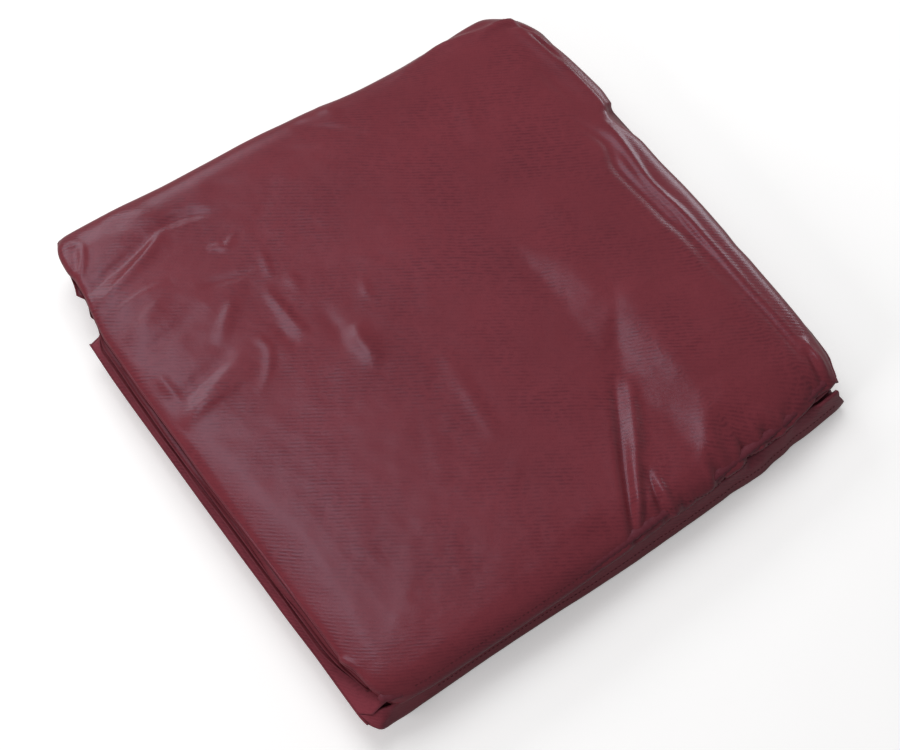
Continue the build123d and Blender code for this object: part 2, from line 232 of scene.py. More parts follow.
def grid_quads(rows, columns, offset=0, flip=False):
    i, j = np.meshgrid(np.arange(rows - 1), np.arange(columns - 1), indexing="ij")
    a = (i * columns + j).ravel() + offset
    faces = np.stack([a, a + columns, a + columns + 1, a + 1], 1)
    return faces[:, ::-1] if flip else faces


def grid_relief(grid):
    """Signed curvature of a grid, positive on ridges, along its own normals."""
    n = normals(grid)
    out = np.zeros(grid.shape[:2])
    for axis in (0, 1):
        a = np.roll(grid, 1, axis)
        b = np.roll(grid, -1, axis)
        offset = (grid - 0.5 * (a + b)) * n
        gap = np.linalg.norm(a - b, axis=2) + 1e-3
        out += np.clip(offset.sum(2) / gap**2 * 2.4, -0.5, 0.5)
    out[[0, -1]] = 0
    out[:, [0, -1]] = 0
    return out


def cloth_sheet(name, grid, thickness, outward):
    """Closed thin shell round a grid. outward (+1 or -1) picks the side that is the face."""
    rows, columns = grid.shape[:2]
    count = rows * columns
    half = normals(grid) * outward * thickness / 2
    index = np.arange(count).reshape(rows, columns)
    ring = np.concatenate([index[:, 0], index[-1, 1:], index[-2::-1, -1], index[0, -2:0:-1]])
    after = np.roll(ring, -1)
    rim = np.stack([ring, after, after + count, ring + count], 1)
    faces = [grid_quads(rows, columns, 0, outward < 0),
             grid_quads(rows, columns, count, outward > 0),
             rim if outward < 0 else rim[:, ::-1]]
    row_steps = np.linalg.norm(np.diff(grid, axis=0), axis=2).mean(1)
    column_steps = np.linalg.norm(np.diff(grid, axis=1), axis=2).mean(0)
    u, v = np.meshgrid(np.r_[0, np.cumsum(row_steps)], np.r_[0, np.cumsum(column_steps)],
                       indexing="ij")
    weave = np.stack([u.ravel(), v.ravel(), np.zeros(count)], 1)
    relief = (grid_relief(grid) * outward).ravel()
    face = np.ones((rows, columns))
    face[[0, -1]] = 0.35
    face[:, [0, -1]] = 0.35
    vertices = np.vstack([(grid + half).reshape(-1, 3), (grid - half).reshape(-1, 3)])
    return make_mesh(name, vertices, faces, np.vstack([weave, weave]),
                     np.r_[relief, relief], np.r_[face.ravel(), np.zeros(count)])


def tube_skin(path, side, up, side_radius, up_radius, segments):
    """Vertices (rings, then both end points), quads and end triangles of a closed tube."""
    angle = np.linspace(0, 2 * np.pi, segments, endpoint=False)
    rings = (path[:, None]
             + side[:, None] * (np.cos(angle)[None, :, None] * side_radius[:, None, None])
             + up[:, None] * (np.sin(angle)[None, :, None] * up_radius[:, None, None]))
    k = np.arange(segments)
    after = np.roll(k, -1)
    start = segments * np.arange(len(path) - 1)[:, None]
    following = start + segments
    sides = np.stack([start + k, start + after, following + after, following + k], 2)
    last, end = start[-1] + segments, len(path) * segments
    caps = np.vstack([np.stack([after, k, np.full(segments, end)], 1),
                      np.stack([last + k, last + after, np.full(segments, end + 1)], 1)])
    vertices = np.vstack([rings.reshape(-1, 3), path[:1], path[-1:]])
    return vertices, sides.reshape(-1, 4), caps


def tube(name, path, side_radius, up_radius, segments=12, taper=1.5):
    """Elliptical tube along a path, rounded off over the taper length at each end."""
    count = len(path)
    side_radius = np.broadcast_to(side_radius, count).astype(float)
    up_radius = np.broadcast_to(up_radius, count).astype(float)
    tangent = unit(np.gradient(path, axis=0))
    side = unit(np.cross(tangent, np.array((0.0, 0.0, 1.0))))
    s = distances(path)
    end = np.sqrt(np.clip(np.minimum(s, s[-1] - s) / taper, 0.02, 1.0))
    vertices, sides, caps = tube_skin(path, side, np.cross(side, tangent),
                                      side_radius * end, up_radius * end, segments)
    weave = np.zeros((len(vertices), 3))
    weave[:-2, 0] = np.repeat(s, segments)
    angle = np.linspace(0, 2 * np.pi, segments, endpoint=False)
    weave[:-2, 1] = np.tile(angle, count) * side_radius.mean()
    weave[-1, 0] = s[-1]
    return make_mesh(name, vertices, [sides, caps], weave,
                     np.zeros(len(vertices)), np.ones(len(vertices)))


def stitches(name, path, path_normals, pitch=3.2, length=2.2, radius=0.17):
    """Row of thread stitches along a path, each dipping into the cloth at both ends."""
    s = distances(path)
    segments, rings = 6, 6
    radii = radius * np.array([0.35, 0.9, 1, 1, 0.9, 0.35])
    lift = np.sin(np.linspace(0, np.pi, rings)) * 0.42 - 0.25
    vertices, sides, caps, weave = [], [], [], []
    size = rings * segments + 2
    for k, start in enumerate(np.arange(1.0, s[-1] - length, pitch)):
        places = np.linspace(start, start + length, rings)
        centre = resample(places, s, path)
        normal = unit(resample(places, s, path_normals))
        across = np.cross(unit(np.gradient(centre, axis=0)), normal)
        wander = 0.12 * ((k * 7) % 5 - 2) / 2
        centre = centre + normal * lift[:, None] + across * wander
        points, quads, triangles = tube_skin(centre, across, normal, radii, radii, segments)
        vertices.append(points)
        sides.append(quads + k * size)
        caps.append(triangles + k * size)
        weave.append(np.tile([start, 0.0, 0.0], (size, 1)))
    vertices = np.vstack(vertices)
    return make_mesh(name, vertices, [np.vstack(sides), np.vstack(caps)], np.vstack(weave),
                     np.zeros(len(vertices)), np.ones(len(vertices)))


def add(ob, material, leaf, node):
    ob.data.materials.append(material)
    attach(ob, leaf)
    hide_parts(node)


# -------------------------------------------------------------- top leaf plan edges
# (y, x) of the free end, on -X
TOP_END_X = smooth_line([
    (-213, -178), (-207, -183), (-201, -189.5), (-192, -194), (-181, -196.6), (-176, -197.6),
    (-170, -199.4), (-164, -200.2), (-142, -200.6), (-95, -202), (-43, -203.2), (10, -203.8),
    (66, -204.5), (119, -203.8), (135, -201), (148, -198.6), (157, -197), (165, -195.6),
    (172, -195.4), (181, -196.2), (191, -195.4), (200, -194), (207, -191.6), (214, -187),
], 2.5)
# (x, y) of the front lip before its tucks
TOP_FRONT_Y = smooth_line([
    (-210, -196), (-198, -200), (-190, -203.5), (-182, -206.2), (-162, -208.2), (-148, -208.6),
    (-106, -209), (-64, -209.6), (-39, -209.5), (-17, -208.9), (6.5, -208.4), (31.5, -207.5),
    (53, -208), (89, -205.7), (120, -204), (134, -202.8), (150, -200), (164, -197.2),
    (176, -195.8), (186, -194.6), (200, -190),
], 3)
# (x, y) of the back crease
TOP_BACK_Y = smooth_line([
    (-190, 211.3), (-170, 210.6), (-137, 209.8), (-106, 207.5), (-60, 206.7), (-38, 206.7),
    (-21, 205.9), (-5, 204.3), (12, 203.2), (29, 201.6), (45, 199.3), (62, 197.9), (98, 197),
    (117, 198.6), (156, 200.1), (176, 200.4), (186, 196), (196, 189), (206, 180),
], 4)
# (y, x) of the roll over the upper fold, on +X
TOP_ROLL_X = smooth_line([
    (-206, 178), (-202, 180), (-194, 184), (-185, 187.1), (-176, 190.1), (-165, 191.6),
    (-155, 193.5), (-144, 195), (-121, 196.8), (-98, 198.1), (-86, 199), (-73, 198.8),
    (-62, 200.3), (-37, 201.7), (-12, 202.4), (15, 202), (41, 203.4), (67, 205.5), (80, 207.1),
    (92, 209.3), (122, 208.4), (137, 207.6), (153, 205.4), (167, 205.6), (180, 201), (187, 198),
    (196, 188),
], 4)
# (x, y depth) of how far in the front edge starts to turn down
FRONT_FALL_WIDTH = smooth_line([
    (-205, 6), (-190, 9), (-160, 15), (-100, 20), (-55, 25), (-35, 32), (-10, 35), (8, 28),
    (25, 15), (60, 15), (74, 24), (92, 38), (120, 40), (150, 34), (176, 20), (200, 12),
], 5)
# Tucks in the front lip: x, depth, reach towards -X, reach towards +X
TUCKS = [
    (75.8, 1.8, 4.5, 1.2), (97.3, 3.4, 1.2, 9), (121, 0.7, 5, 3), (141, 1.1, 1.5, 7),
    (163, 2, 1.2, 5), (28, 0.8, 5, 5), (-30, 0.6, 8, 6), (50, 1, 2, 6),
]


def lip_y(x):
    """Front lip of the top leaf with its tucks."""
    y = TOP_FRONT_Y(x)
    for centre, depth, reach_minus, reach_plus in TUCKS:
        d = x - centre
        y = y + depth * np.exp(-np.abs(d) / np.where(d < 0, reach_minus, reach_plus))
    return y


# ------------------------------------------------------------------------- wrinkles
# Height, width on the left of the line, width on its right, [(x, y, share of height)]
STROKES = [
    (1.56, 2.64, 3.96, [(-193, 141.5, 0), (-175.7, 147, 0.8), (-153.4, 155.3, 1),
                        (-137.8, 162.6, 1), (-128, 168.1, 0.3)]),
    (-1.69, 3.96, 3.96, [(-196.8, 154.2, 0.3), (-181.8, 158.4, 1), (-161.6, 163.2, 1),
                         (-142, 167.7, 0.7), (-124.5, 174, 0)]),
    (1.01, 3.96, 5.28, [(-192, 102.5, 0), (-175.7, 110.3, 1), (-156.9, 119.4, 0.7),
                        (-141.3, 124.2, 0)]),
    (-1.18, 4.62, 5.94, [(-193.3, 84.3, 0), (-173.6, 91.2, 1), (-151.7, 94.9, 1),
                         (-132.5, 98.9, 0)]),
    (1.1, 3.3, 3.96, [(-144.1, 67.1, 0), (-133.6, 75.1, 1), (-122.7, 84.9, 1), (-114.2, 94.7, 0)]),
    (-0.76, 3.96, 5.28, [(-113.7, 90.3, 0), (-99.8, 94.4, 1), (-83.5, 96.8, 0)]),
    (1.01, 2.64, 3.3, [(-92.2, 90.9, 0), (-91.7, 72.5, 1), (-90.7, 54, 1), (-88, 34.4, 0)]),
    (-0.76, 3.3, 3.3, [(-102.6, 64.5, 0), (-101.2, 47.8, 1), (-99.8, 31.3, 0)]),
    (1.34, 5.28, 5.94, [(-195.1, 26.8, 0), (-180.7, 32.9, 1), (-161.2, 39.4, 1),
                        (-136, 49.7, 0.8), (-113, 58.2, 0)]),
    (-1.34, 5.28, 5.28, [(-194.9, 45, 0), (-176, 48.2, 1), (-153.7, 52.9, 1), (-127.3, 55.9, 0)]),
    (0.76, 4.62, 5.28, [(-62.3, 31.5, 0), (-62.7, 11.4, 1), (-62.6, -14.6, 0)]),
    (0.67, 3.3, 3.96, [(-72.7, 93.1, 0), (-73, 81.2, 1), (-75.5, 64.8, 0)]),
    (-0.76, 4.62, 4.62, [(-69.1, 58.2, 0), (-70.7, 33.6, 1), (-73.9, 6.9, 0)]),
    (-1, 3, 4, [(-1.9, 197.4, 0), (10.8, 184.8, 1), (25.9, 170.5, 0.8), (40.5, 155.5, 0)]),
    (0.7, 3, 4, [(23.8, 201.8, 0), (29.6, 191.8, 1), (34.3, 180.4, 0)]),
    (-0.8, 4, 4, [(-26.4, 183.5, 0), (-8.3, 171.5, 1), (9.6, 156.5, 0)]),
    (-0.7, 5, 5, [(-85.3, 184.2, 0), (-69.1, 177.9, 1), (-51.1, 171.5, 0)]),
    (-1, 3, 4, [(-135.6, 174.6, 0), (-119.3, 174.5, 1), (-104.3, 172.1, 1), (-87.8, 166.6, 0)]),
    (0.8, 5, 6, [(-142.3, 199.4, 0), (-130.8, 191.2, 1), (-118.2, 173.6, 0)]),
    (-0.8, 5, 5, [(-159.7, 197.2, 0), (-147.7, 192.8, 1), (-137.4, 185.4, 0)]),
    (-2.3, 3.4, 4.2, [(164.4, 91.4, 0), (171.4, 69.2, 0.45), (177.1, 47.1, 0.8), (170.1, 25.5, 1),
                      (170.2, -4, 1), (170.8, -29.1, 1), (172.4, -49.2, 0.9),
                      (171.5, -81.6, 0.45), (171.7, -112.1, 0.35), (172.9, -139.7, 0.4),
                      (172.5, -169.5, 0.2), (172.2, -179.8, 0)]),
    (-1, 1.8, 1.8, [(182.8, 55.4, 0), (178.7, 27, 0.9), (175.9, -3.8, 1), (177, -31.4, 1),
                    (175.9, -56.9, 1), (175.3, -77.2, 0.8), (173.8, -108.6, 0.6),
                    (173.4, -138.1, 0.6), (171.9, -166.2, 0.5), (170.1, -182.1, 0)]),
    (1.5, 2.2, 5, [(184.8, 69.8, 0), (187.5, 54.2, 0.8), (184.4, 29.5, 1), (179.2, 0.3, 1),
                   (181.6, -31.5, 1), (180.5, -60.2, 0.7), (179.8, -82.5, 0.7),
                   (177.8, -115.5, 0.5), (177, -152.4, 0.5), (174.9, -179.8, 0)]),
    (1.8, 1.6, 5, [(189, 178.3, 0.3), (190.4, 166.2, 0.9), (193.8, 143.2, 1), (196.4, 126.8, 1),
                   (197.4, 100.1, 1), (197.1, 79.4, 1), (193.1, 68.4, 0.6), (190.9, 60.9, 0)]),
    (-1.3, 6, 5, [(179.6, 155.7, 0), (180.8, 126.2, 1), (182, 97.2, 1), (183.6, 73, 0)]),
    (-3, 2.6, 2.6, [(60.4, -105, 0), (52.1, -119.7, 0.5), (34.7, -146.7, 0.9), (20.8, -168.1, 1),
                    (10.1, -186.6, 1), (1.7, -202.1, 1), (-1.4, -210.9, 0.8)]),
    (2.8, 3.2, 2.6, [(68, -110.5, 0), (59.3, -127.7, 0.6), (44, -149.8, 0.9), (28, -171.5, 1),
                     (13.4, -191.6, 1), (4.7, -203.4, 0.6), (0, -210.2, 0)]),
    (-1.8, 1.8, 2.4, [(39.6, -158.4, 0), (30.7, -173.4, 0.7), (18.7, -191.2, 1),
                      (12.1, -199.3, 1), (0, -210.2, 0.7)]),
    (-2.4, 2.2, 2.2, [(35, -171.2, 0), (31.2, -180.9, 0.8), (27.2, -192.9, 1), (25.3, -205.4, 1),
                      (25.8, -212.6, 0.7)]),
    (1.6, 2, 3.4, [(36.1, -179.1, 0), (33.4, -190.4, 1), (31.4, -202.9, 1), (32.1, -212, 0.4)]),
    (-2.2, 5, 5, [(20.3, -192.3, 0), (16.2, -201.4, 1), (12.5, -209.9, 1)]),
    (-1.1, 9, 9, [(125.8, -20.8, 0), (111.2, -41.3, 1), (91.4, -67.3, 1), (72.2, -92.5, 1),
                  (55.9, -115, 0)]),
    (-1.23, 9, 8, [(96, -166.2, 0), (94.1, -178.6, 1), (91.4, -194.8, 1), (88.9, -204.7, 0)]),
    (0.77, 5, 6, [(94.5, -155.8, 0), (85.6, -172.5, 1), (76.8, -188.8, 1), (69.6, -201.4, 0)]),
    (1.08, 3.2, 4, [(120.5, -178.2, 0), (121.9, -188.5, 1), (124.4, -197.7, 1),
                    (128.8, -202.6, 0)]),
    (-1.23, 3.2, 3.2, [(113.8, -191.9, 0), (116.8, -200.4, 1), (120.7, -207.8, 0)]),
    (1.16, 3.2, 3.2, [(122.8, -209.3, 0), (135, -203.5, 1), (148.4, -197.4, 1),
                      (156.7, -193.1, 0)]),
    (-1.23, 3.2, 3.2, [(127.2, -216.1, 0), (141.4, -208.1, 1), (152.7, -201.4, 0)]),
    (-1.69, 3.2, 3.2, [(87.3, -212.4, 0), (96.4, -211.8, 1), (107.5, -210.9, 1),
                       (116.7, -210.3, 0)]),
    (-1.54, 3.2, 3.2, [(58.3, -212.7, 0), (66.2, -211.3, 1), (76.1, -210.6, 0)]),
    (-1.08, 6, 6, [(-36.6, -192.3, 0), (-24.2, -192.8, 1), (-12.3, -196.3, 1), (-3.7, -195.6, 0)]),
    (1.6, 2, 2, [(181.4, -157.5, 0), (180.6, -168.5, 1), (179.8, -181.4, 1),
                 (177.9, -194.3, 0.6)]),
    (-1.8, 2, 2, [(177.3, -166.2, 0), (175.4, -176.3, 1), (173.5, -188.3, 1),
                  (171.6, -196.3, 0.5)]),
    (1.4, 2, 2, [(180.6, -170.5, 0), (176.6, -184.9, 1), (173.7, -196, 0.6)]),
    (0.91, 1.6, 2.4, [(-188, 204, 0.4), (-181.9, 200.6, 0.9), (-177.5, 194.3, 1),
                      (-179.5, 186.4, 1), (-185, 178, 1), (-191, 170.1, 0.7),
                      (-195.9, 161.5, 0)]),
    (-0.84, 3, 3, [(-187.1, 197.1, 0.3), (-185.7, 190.9, 1), (-188.9, 180.9, 1),
                   (-193.3, 171.7, 0.5)]),
    (-0.7, 3, 4, [(-171.9, 187.2, 0), (-176.9, 178.3, 1), (-183.8, 169, 1), (-190.6, 159.7, 0)]),
    (1.1, 1.6, 3.2, [(75.2, 190.4, 0), (93.3, 190.4, 0.7), (113.3, 192.7, 1), (131, 195.6, 1),
                     (147.3, 192.3, 1), (162.6, 187.4, 1), (177.2, 185.5, 1),
                     (189.5, 184.1, 0.4)]),
    (-0.8, 3, 2, [(96, 194.3, 0), (116.1, 196.7, 1), (133.9, 199.6, 1), (150.2, 196.3, 1),
                  (166.1, 192.3, 0.6)]),
    (-1.78, 2.2, 3.2, [(91.5, -215.4, 1), (94.2, -208.5, 1), (97.7, -198.4, 0.6),
                       (100.2, -187.6, 0)]),
    (1.19, 2.6, 2.2, [(86.4, -213.5, 1), (88.5, -206.1, 1), (91.5, -195.7, 0.5), (93, -186, 0)]),
    (-1.78, 2.2, 3.2, [(68.4, -214.7, 1), (70.8, -205.9, 1), (73.2, -195.1, 0.6),
                       (75.6, -184.3, 0)]),
    (1.05, 2.6, 2.2, [(61.8, -213.5, 1), (64.2, -204.7, 1), (66.6, -193.9, 0.5),
                      (68.5, -184.6, 0)]),
    (-1.64, 2.2, 2.8, [(113.2, -212.3, 1), (115.9, -204.3, 1), (118.1, -194.9, 0.5),
                       (119.8, -187, 0)]),
    (1.11, 2.2, 2.2, [(107.5, -210.9, 1), (109.7, -203.5, 1), (111.3, -193.7, 0.4),
                      (112.5, -185.4, 0)]),
    (-1.64, 2.2, 2.4, [(130.2, -212.8, 1), (133.5, -204.2, 1), (136.3, -195.2, 0.5),
                       (138.6, -187.6, 0)]),
    (0.98, 2.2, 2.2, [(124, -211.9, 1), (126.8, -204.8, 1), (129.5, -195.8, 0.4),
                      (130.8, -189.4, 0)]),
    (-1.35, 2.2, 2.4, [(36.7, -214.5, 1), (40.1, -206.5, 0.8), (42.9, -198.1, 0)]),
    (0.89, 2.4, 2.2, [(31.3, -214, 1), (34.6, -206.1, 0.8), (37, -198.2, 0)]),
    (1.2, 1.6, 2, [(-203.8, -165.9, 1), (-199.5, -165.9, 1), (-195.9, -171.6, 0.6),
                   (-193.9, -179.3, 0)]),
    (-1.44, 1.8, 1.8, [(-204.7, -171.5, 1), (-200, -173.3, 1), (-198.6, -182.1, 0.6),
                       (-198.2, -190.1, 0)]),
    (-0.5, 2, 2.5, [(-202.6, 32.2, 0), (-200, 8.6, 1), (-200.8, -29.7, 1), (-203.4, -69.8, 1),
                    (-204.4, -106.4, 0.8), (-205, -136.7, 0)]),
    (1.6, 1.4, 2.4, [(151.3, 181, 0), (166.9, 183.1, 0.8), (181.5, 184.9, 1), (191.3, 184, 1)]),
    (-1.6, 1.6, 1.6, [(178, 178.8, 0), (187.1, 177.1, 1), (193.9, 172.2, 1), (196.5, 165.5, 0.5)]),
    (1.4, 1.2, 1.6, [(191.4, 181.5, 0.8), (192.7, 170.6, 1), (196.6, 160.5, 1),
                     (199.7, 151, 0.5)]),
    (-1.4, 1.6, 1.6, [(192.9, 160.7, 0), (196.1, 151.2, 1), (196.9, 138.5, 1), (197, 128.8, 0.4)]),
    (0.71, 2.52, 3.6, [(-193.9, 126.3, 0), (-179.4, 129.6, 0.9), (-164.5, 130.9, 1),
                       (-150.2, 130.7, 0.4), (-142.1, 130.9, 0)]),
    (-0.71, 2.88, 2.88, [(-132.9, 173.7, 0), (-117, 172.8, 1), (-98.5, 168, 1),
                         (-81.8, 160.1, 0)]),
    (0.71, 2.16, 2.52, [(-108.8, 137.6, 0), (-101.4, 136.4, 1), (-95.7, 132.3, 1),
                        (-87.8, 137.1, 0.5)]),
    (-0.77, 2.88, 2.88, [(-130.9, 114.7, 0), (-117.1, 110.9, 1), (-102.2, 106.2, 1),
                         (-88.5, 104.5, 0)]),
    (0.64, 2.16, 2.88, [(-119.1, 58.7, 0), (-116.1, 50.8, 0.9), (-117.1, 41.8, 1),
                        (-127.3, 28.2, 1), (-141.8, 17.9, 0)]),
    (0.77, 2.88, 3.6, [(-187.8, 28.9, 0.3), (-174.8, 32.4, 1), (-160.4, 33.2, 1),
                       (-145, 35.3, 0.8), (-128.9, 40.7, 0)]),
    (0.71, 2.16, 2.88, [(-187.4, 73.3, 0), (-186.7, 61.5, 1), (-185.7, 47.7, 0.6),
                        (-185.2, 38.1, 0)]),
    (0.58, 2.16, 2.88, [(-77.5, 119.2, 0), (-80.2, 104.6, 1), (-83.9, 91, 0)]),
    (0.51, 2.88, 2.88, [(-32.6, 58.2, 0), (-35.7, 46.2, 1), (-39.7, 33.1, 0)]),
    (0.8, 5, 6, [(112.8, 147, 0), (110.6, 130.1, 1), (104.5, 109.4, 1), (97.5, 87.6, 0)]),
    (0.7, 5, 6, [(112.7, 52.5, 0), (110.1, 34.9, 1), (109.8, 15.9, 1), (107.3, -3.4, 0)]),
    (1, 5, 5, [(-22.6, -18.5, 0), (-23.8, -38.7, 0.8), (-26.6, -63.1, 1), (-30.3, -88.2, 0.8),
               (-34.6, -105, 0)]),
    (1.3, 5, 5, [(-60.9, 28.6, 0), (-61.6, 15.4, 1), (-62.3, 2.4, 1), (-64.8, -13, 0)]),
]


def wrinkle_height(x, y):
    """Height the strokes add at plan points; each point takes its nearest stroke segment."""
    total = np.zeros_like(x)
    for height, left_width, right_width, points in STROKES:
        line = curve(points, max(12, 4 * len(points)))
        margin = 4 * max(left_width, right_width)
        low, high = line[:, :2].min(0) - margin, line[:, :2].max(0) + margin
        inside = (x > low[0]) & (x < high[0]) & (y > low[1]) & (y < high[1])
        xs, ys = x[inside], y[inside]
        nearest = np.full(xs.shape, 1e9)
        value = np.zeros_like(xs)
        for a, b in zip(line[:-1], line[1:]):
            d = b[:2] - a[:2]
            t = np.clip(((xs - a[0]) * d[0] + (ys - a[1]) * d[1]) / (float(d @ d) + 1e-9), 0, 1)
            dx, dy = xs - (a[0] + t * d[0]), ys - (a[1] + t * d[1])
            distance = np.hypot(dx, dy)
            width = np.where((d[0] * dy - d[1] * dx) > 0, left_width, right_width)
            here = (a[2] + t * (b[2] - a[2])) * np.exp(-0.5 * (distance / width) ** 2)
            closer = distance < nearest
            value = np.where(closer, here, value)
            nearest = np.where(closer, distance, nearest)
        total[inside] += height * value
    return total


# ---------------------------------------------------------------- top leaf surface
# Downturned free end: distance in from the end, height left to fall
CURL = curve([(2.2, 12), (0.9, 10.8), (0, 8.6), (0.3, 6.2), (1.5, 4), (3.6, 2.7), (6.6, 2.04),
              (10.6, 1.62), (16, 1.2), (23, 0.78), (32, 0.36), (42, 0)], 36)
CURL_FALL = np.clip(CURL[:, 1] / CURL[0, 1], 0, 1)
CURL_REACH = 42
FLAT_END = np.linspace(0, CURL_REACH, len(CURL))
# Roll at the upper fold: x from the fold, share of height, share of overhang
ROLL = curve([(-34, 1, 0), (-27, 0.99, 0), (-20, 0.97, 0.1), (-14, 0.92, 0.35),
              (-8.5, 0.82, 0.65), (-4, 0.66, 0.9), (-1.2, 0.47, 1), (0, 0.3, 1), (0, 0.14, 0.6),
              (0, 0, 0)], 26)
# Front lip and back crease: y from the edge, z
LIP = curve([(3.4, 30.6), (2, 29.4), (0.6, 29.3), (-0.2, 30.8), (-0.5, 33.4), (0.1, 36),
             (1.9, 38.9), (5.2, 41.4), (10.5, 43.3), (18, 44.4), (30, 45)], 26)
BACK = curve([(-36, 45), (-27, 44.7), (-19, 44.1), (-12, 43), (-6.6, 41.5), (-2.6, 39.6),
              (-0.4, 37.6), (0, 36), (-1.2, 34.2), (-4.5, 33), (-10, 32.6), (-18, 32.45)], 24)
TOP_Z, TOP_UNDER_Z = 45.0, 32.45
TOP_CELLS = 300       # grid lines across the top, both ways
TOP_UNDER_ROWS = 40
# Last column of the curl, first of the roll; last row of the lip, of the top, of the crease
CURL_COLUMN = len(CURL) - 1
ROLL_COLUMN = CURL_COLUMN + TOP_CELLS - 1
LIP_ROW = len(LIP) - 1
MAIN_ROW = LIP_ROW + TOP_CELLS - 1
UNDER_ROW = MAIN_ROW + len(BACK) - 1


def top_fold_shift(y):
    """How far the upper fold draws in at its two gathered ends (negative is inwards)."""
    return (np.minimum(TOP_ROLL_X(y) - upper_fold_x(y) + 3.0, 0.0)
            - 2.2 * smoothstep(-176, -188, y))


def top_grid():
    """Smooth grid of the top leaf, -X to +X by column and round from lip to underside by row."""
    column, row = np.indices((ROLL_COLUMN + len(ROLL), UNDER_ROW + TOP_UNDER_ROWS + 1))
    row_ends = (LIP_ROW, MAIN_ROW, UNDER_ROW)
    lip, back, roll = along(LIP, row), along(BACK, row, MAIN_ROW), along(ROLL, column, ROLL_COLUMN)
    curl_x, flat_x = along(CURL[:, 0], column), along(FLAT_END, column)
    level = pick(row, row_ends, lip[..., 1], TOP_Z, back[..., 1], TOP_UNDER_Z)
    across_top = linear(LIP_ROW, MAIN_ROW, row)
    across_under = linear(UNDER_ROW, UNDER_ROW + TOP_UNDER_ROWS, row)
    across_x = linear(CURL_COLUMN, ROLL_COLUMN, column)
    curled = linear(35, 43.5, level)

    x = -200 + 400 * column / column.shape[0]
    # the plan edges depend on each other's axis, so x and y are settled in turn
    for _ in range(3):
        front_y, back_y = lip_y(x), TOP_BACK_Y(x)
        y = pick(row, row_ends, front_y + lip[..., 0],
                 mix(front_y + LIP[-1, 0], back_y + BACK[0, 0], across_top),
                 back_y + back[..., 0],
                 mix(back_y + BACK[-1, 0], front_y + 7, across_under))
        # the curl is wider at the -X +Y corner
        wide = 1 + 1.1 * bell((y, 198, 12)) + 0.25 * noise_along(y, 40, 15)
        end = curl_x * (1 + (wide - 1) * (1 - np.clip(curl_x / CURL_REACH, 0, 1)) ** 2)
        end = mix(flat_x + 0.4, end, curled)
        end = np.where(row < UNDER_ROW - 3, end, flat_x + 1.5)
        end_x = TOP_END_X(y)
        shift = top_fold_shift(y)
        fold_x = upper_fold_x(y) + shift
        tuck = 6.5 * (1 - smoothstep(71, 79, y)) * smoothstep(34, 70, y)
        overhang = np.clip(TOP_ROLL_X(y) - upper_fold_x(y) - shift, -3, 3.0) - tuck
        x = pick(column, (CURL_COLUMN, ROLL_COLUMN), end_x + end,
                 mix(end_x + CURL_REACH, fold_x + ROLL[0, 0], across_x),
                 fold_x + roll[..., 0] + roll[..., 2] * overhang * linear(32, 42, level))

    fall = np.where(column <= CURL_COLUMN, along(CURL_FALL, column), 0)
    fall_to = 36.4 - 2.6 * smoothstep(150, 190, y) - 6.2 * (1 - smoothstep(-206, -184, y))
    z = level - fall * np.maximum(level - fall_to, 0) * (row < UNDER_ROW)
    # the lip lifts off the layers under it near its +X end
    lift = 2.0 * smoothstep(156, 176, x) * (1 - smoothstep(190, 204, x))
    z = z + lift * linear(38, 32, z) * (row < LIP_ROW)
    share = np.where(column > ROLL_COLUMN, roll[..., 1], 1.0)
    z = UPPER_FOLD_Z + (z - UPPER_FOLD_Z) * share
    return np.stack([x, y, z], 2), row


# Inner edge of the sloping margin at the free end: y, x
MARGIN = ([-197.5, -171.3, -128.2, -79.6, -31.3, -3.5, 21.5],
          [-188.0, -181.1, -174.2, -172.1, -179.1, -183.1, -187.7])
# Sloping facets between x = 60 and 105: (y, x) of the -X edge, (y, x) of the +X edge
FACETS = [
    (([-89.4, -63.5, -29.2, 12.7], [65.2, 65.7, 66.3, 67.6]),
     ([-89.4, -64.4, -44.0, -15.0, 12.8], [65.6, 90.2, 89.7, 86.0, 70.3])),
    (([-196.9, -176.9, -148.1, -132.6, -120.1, -100.9, -80.9, -51.4],
      [68.3, 66.5, 68.3, 62.2, 60.3, 70.6, 83.1, 104.1]),
     ([-203.7, -193.5, -163.9, -142.0, -102.5, -77.3, -51.8],
      [72.7, 77.1, 92.8, 97.4, 99.6, 102.6, 104.7])),
]
FACET_SLOPE = 0.208


def front_fall(x, y):
    """Height lost where the front edge turns down towards the lip."""
    width = FRONT_FALL_WIDTH(x)
    t = np.clip(1 - (y - lip_y(x)) / width, 0, 1.1)
    return -0.125 * np.minimum(width, 34) * t**1.4


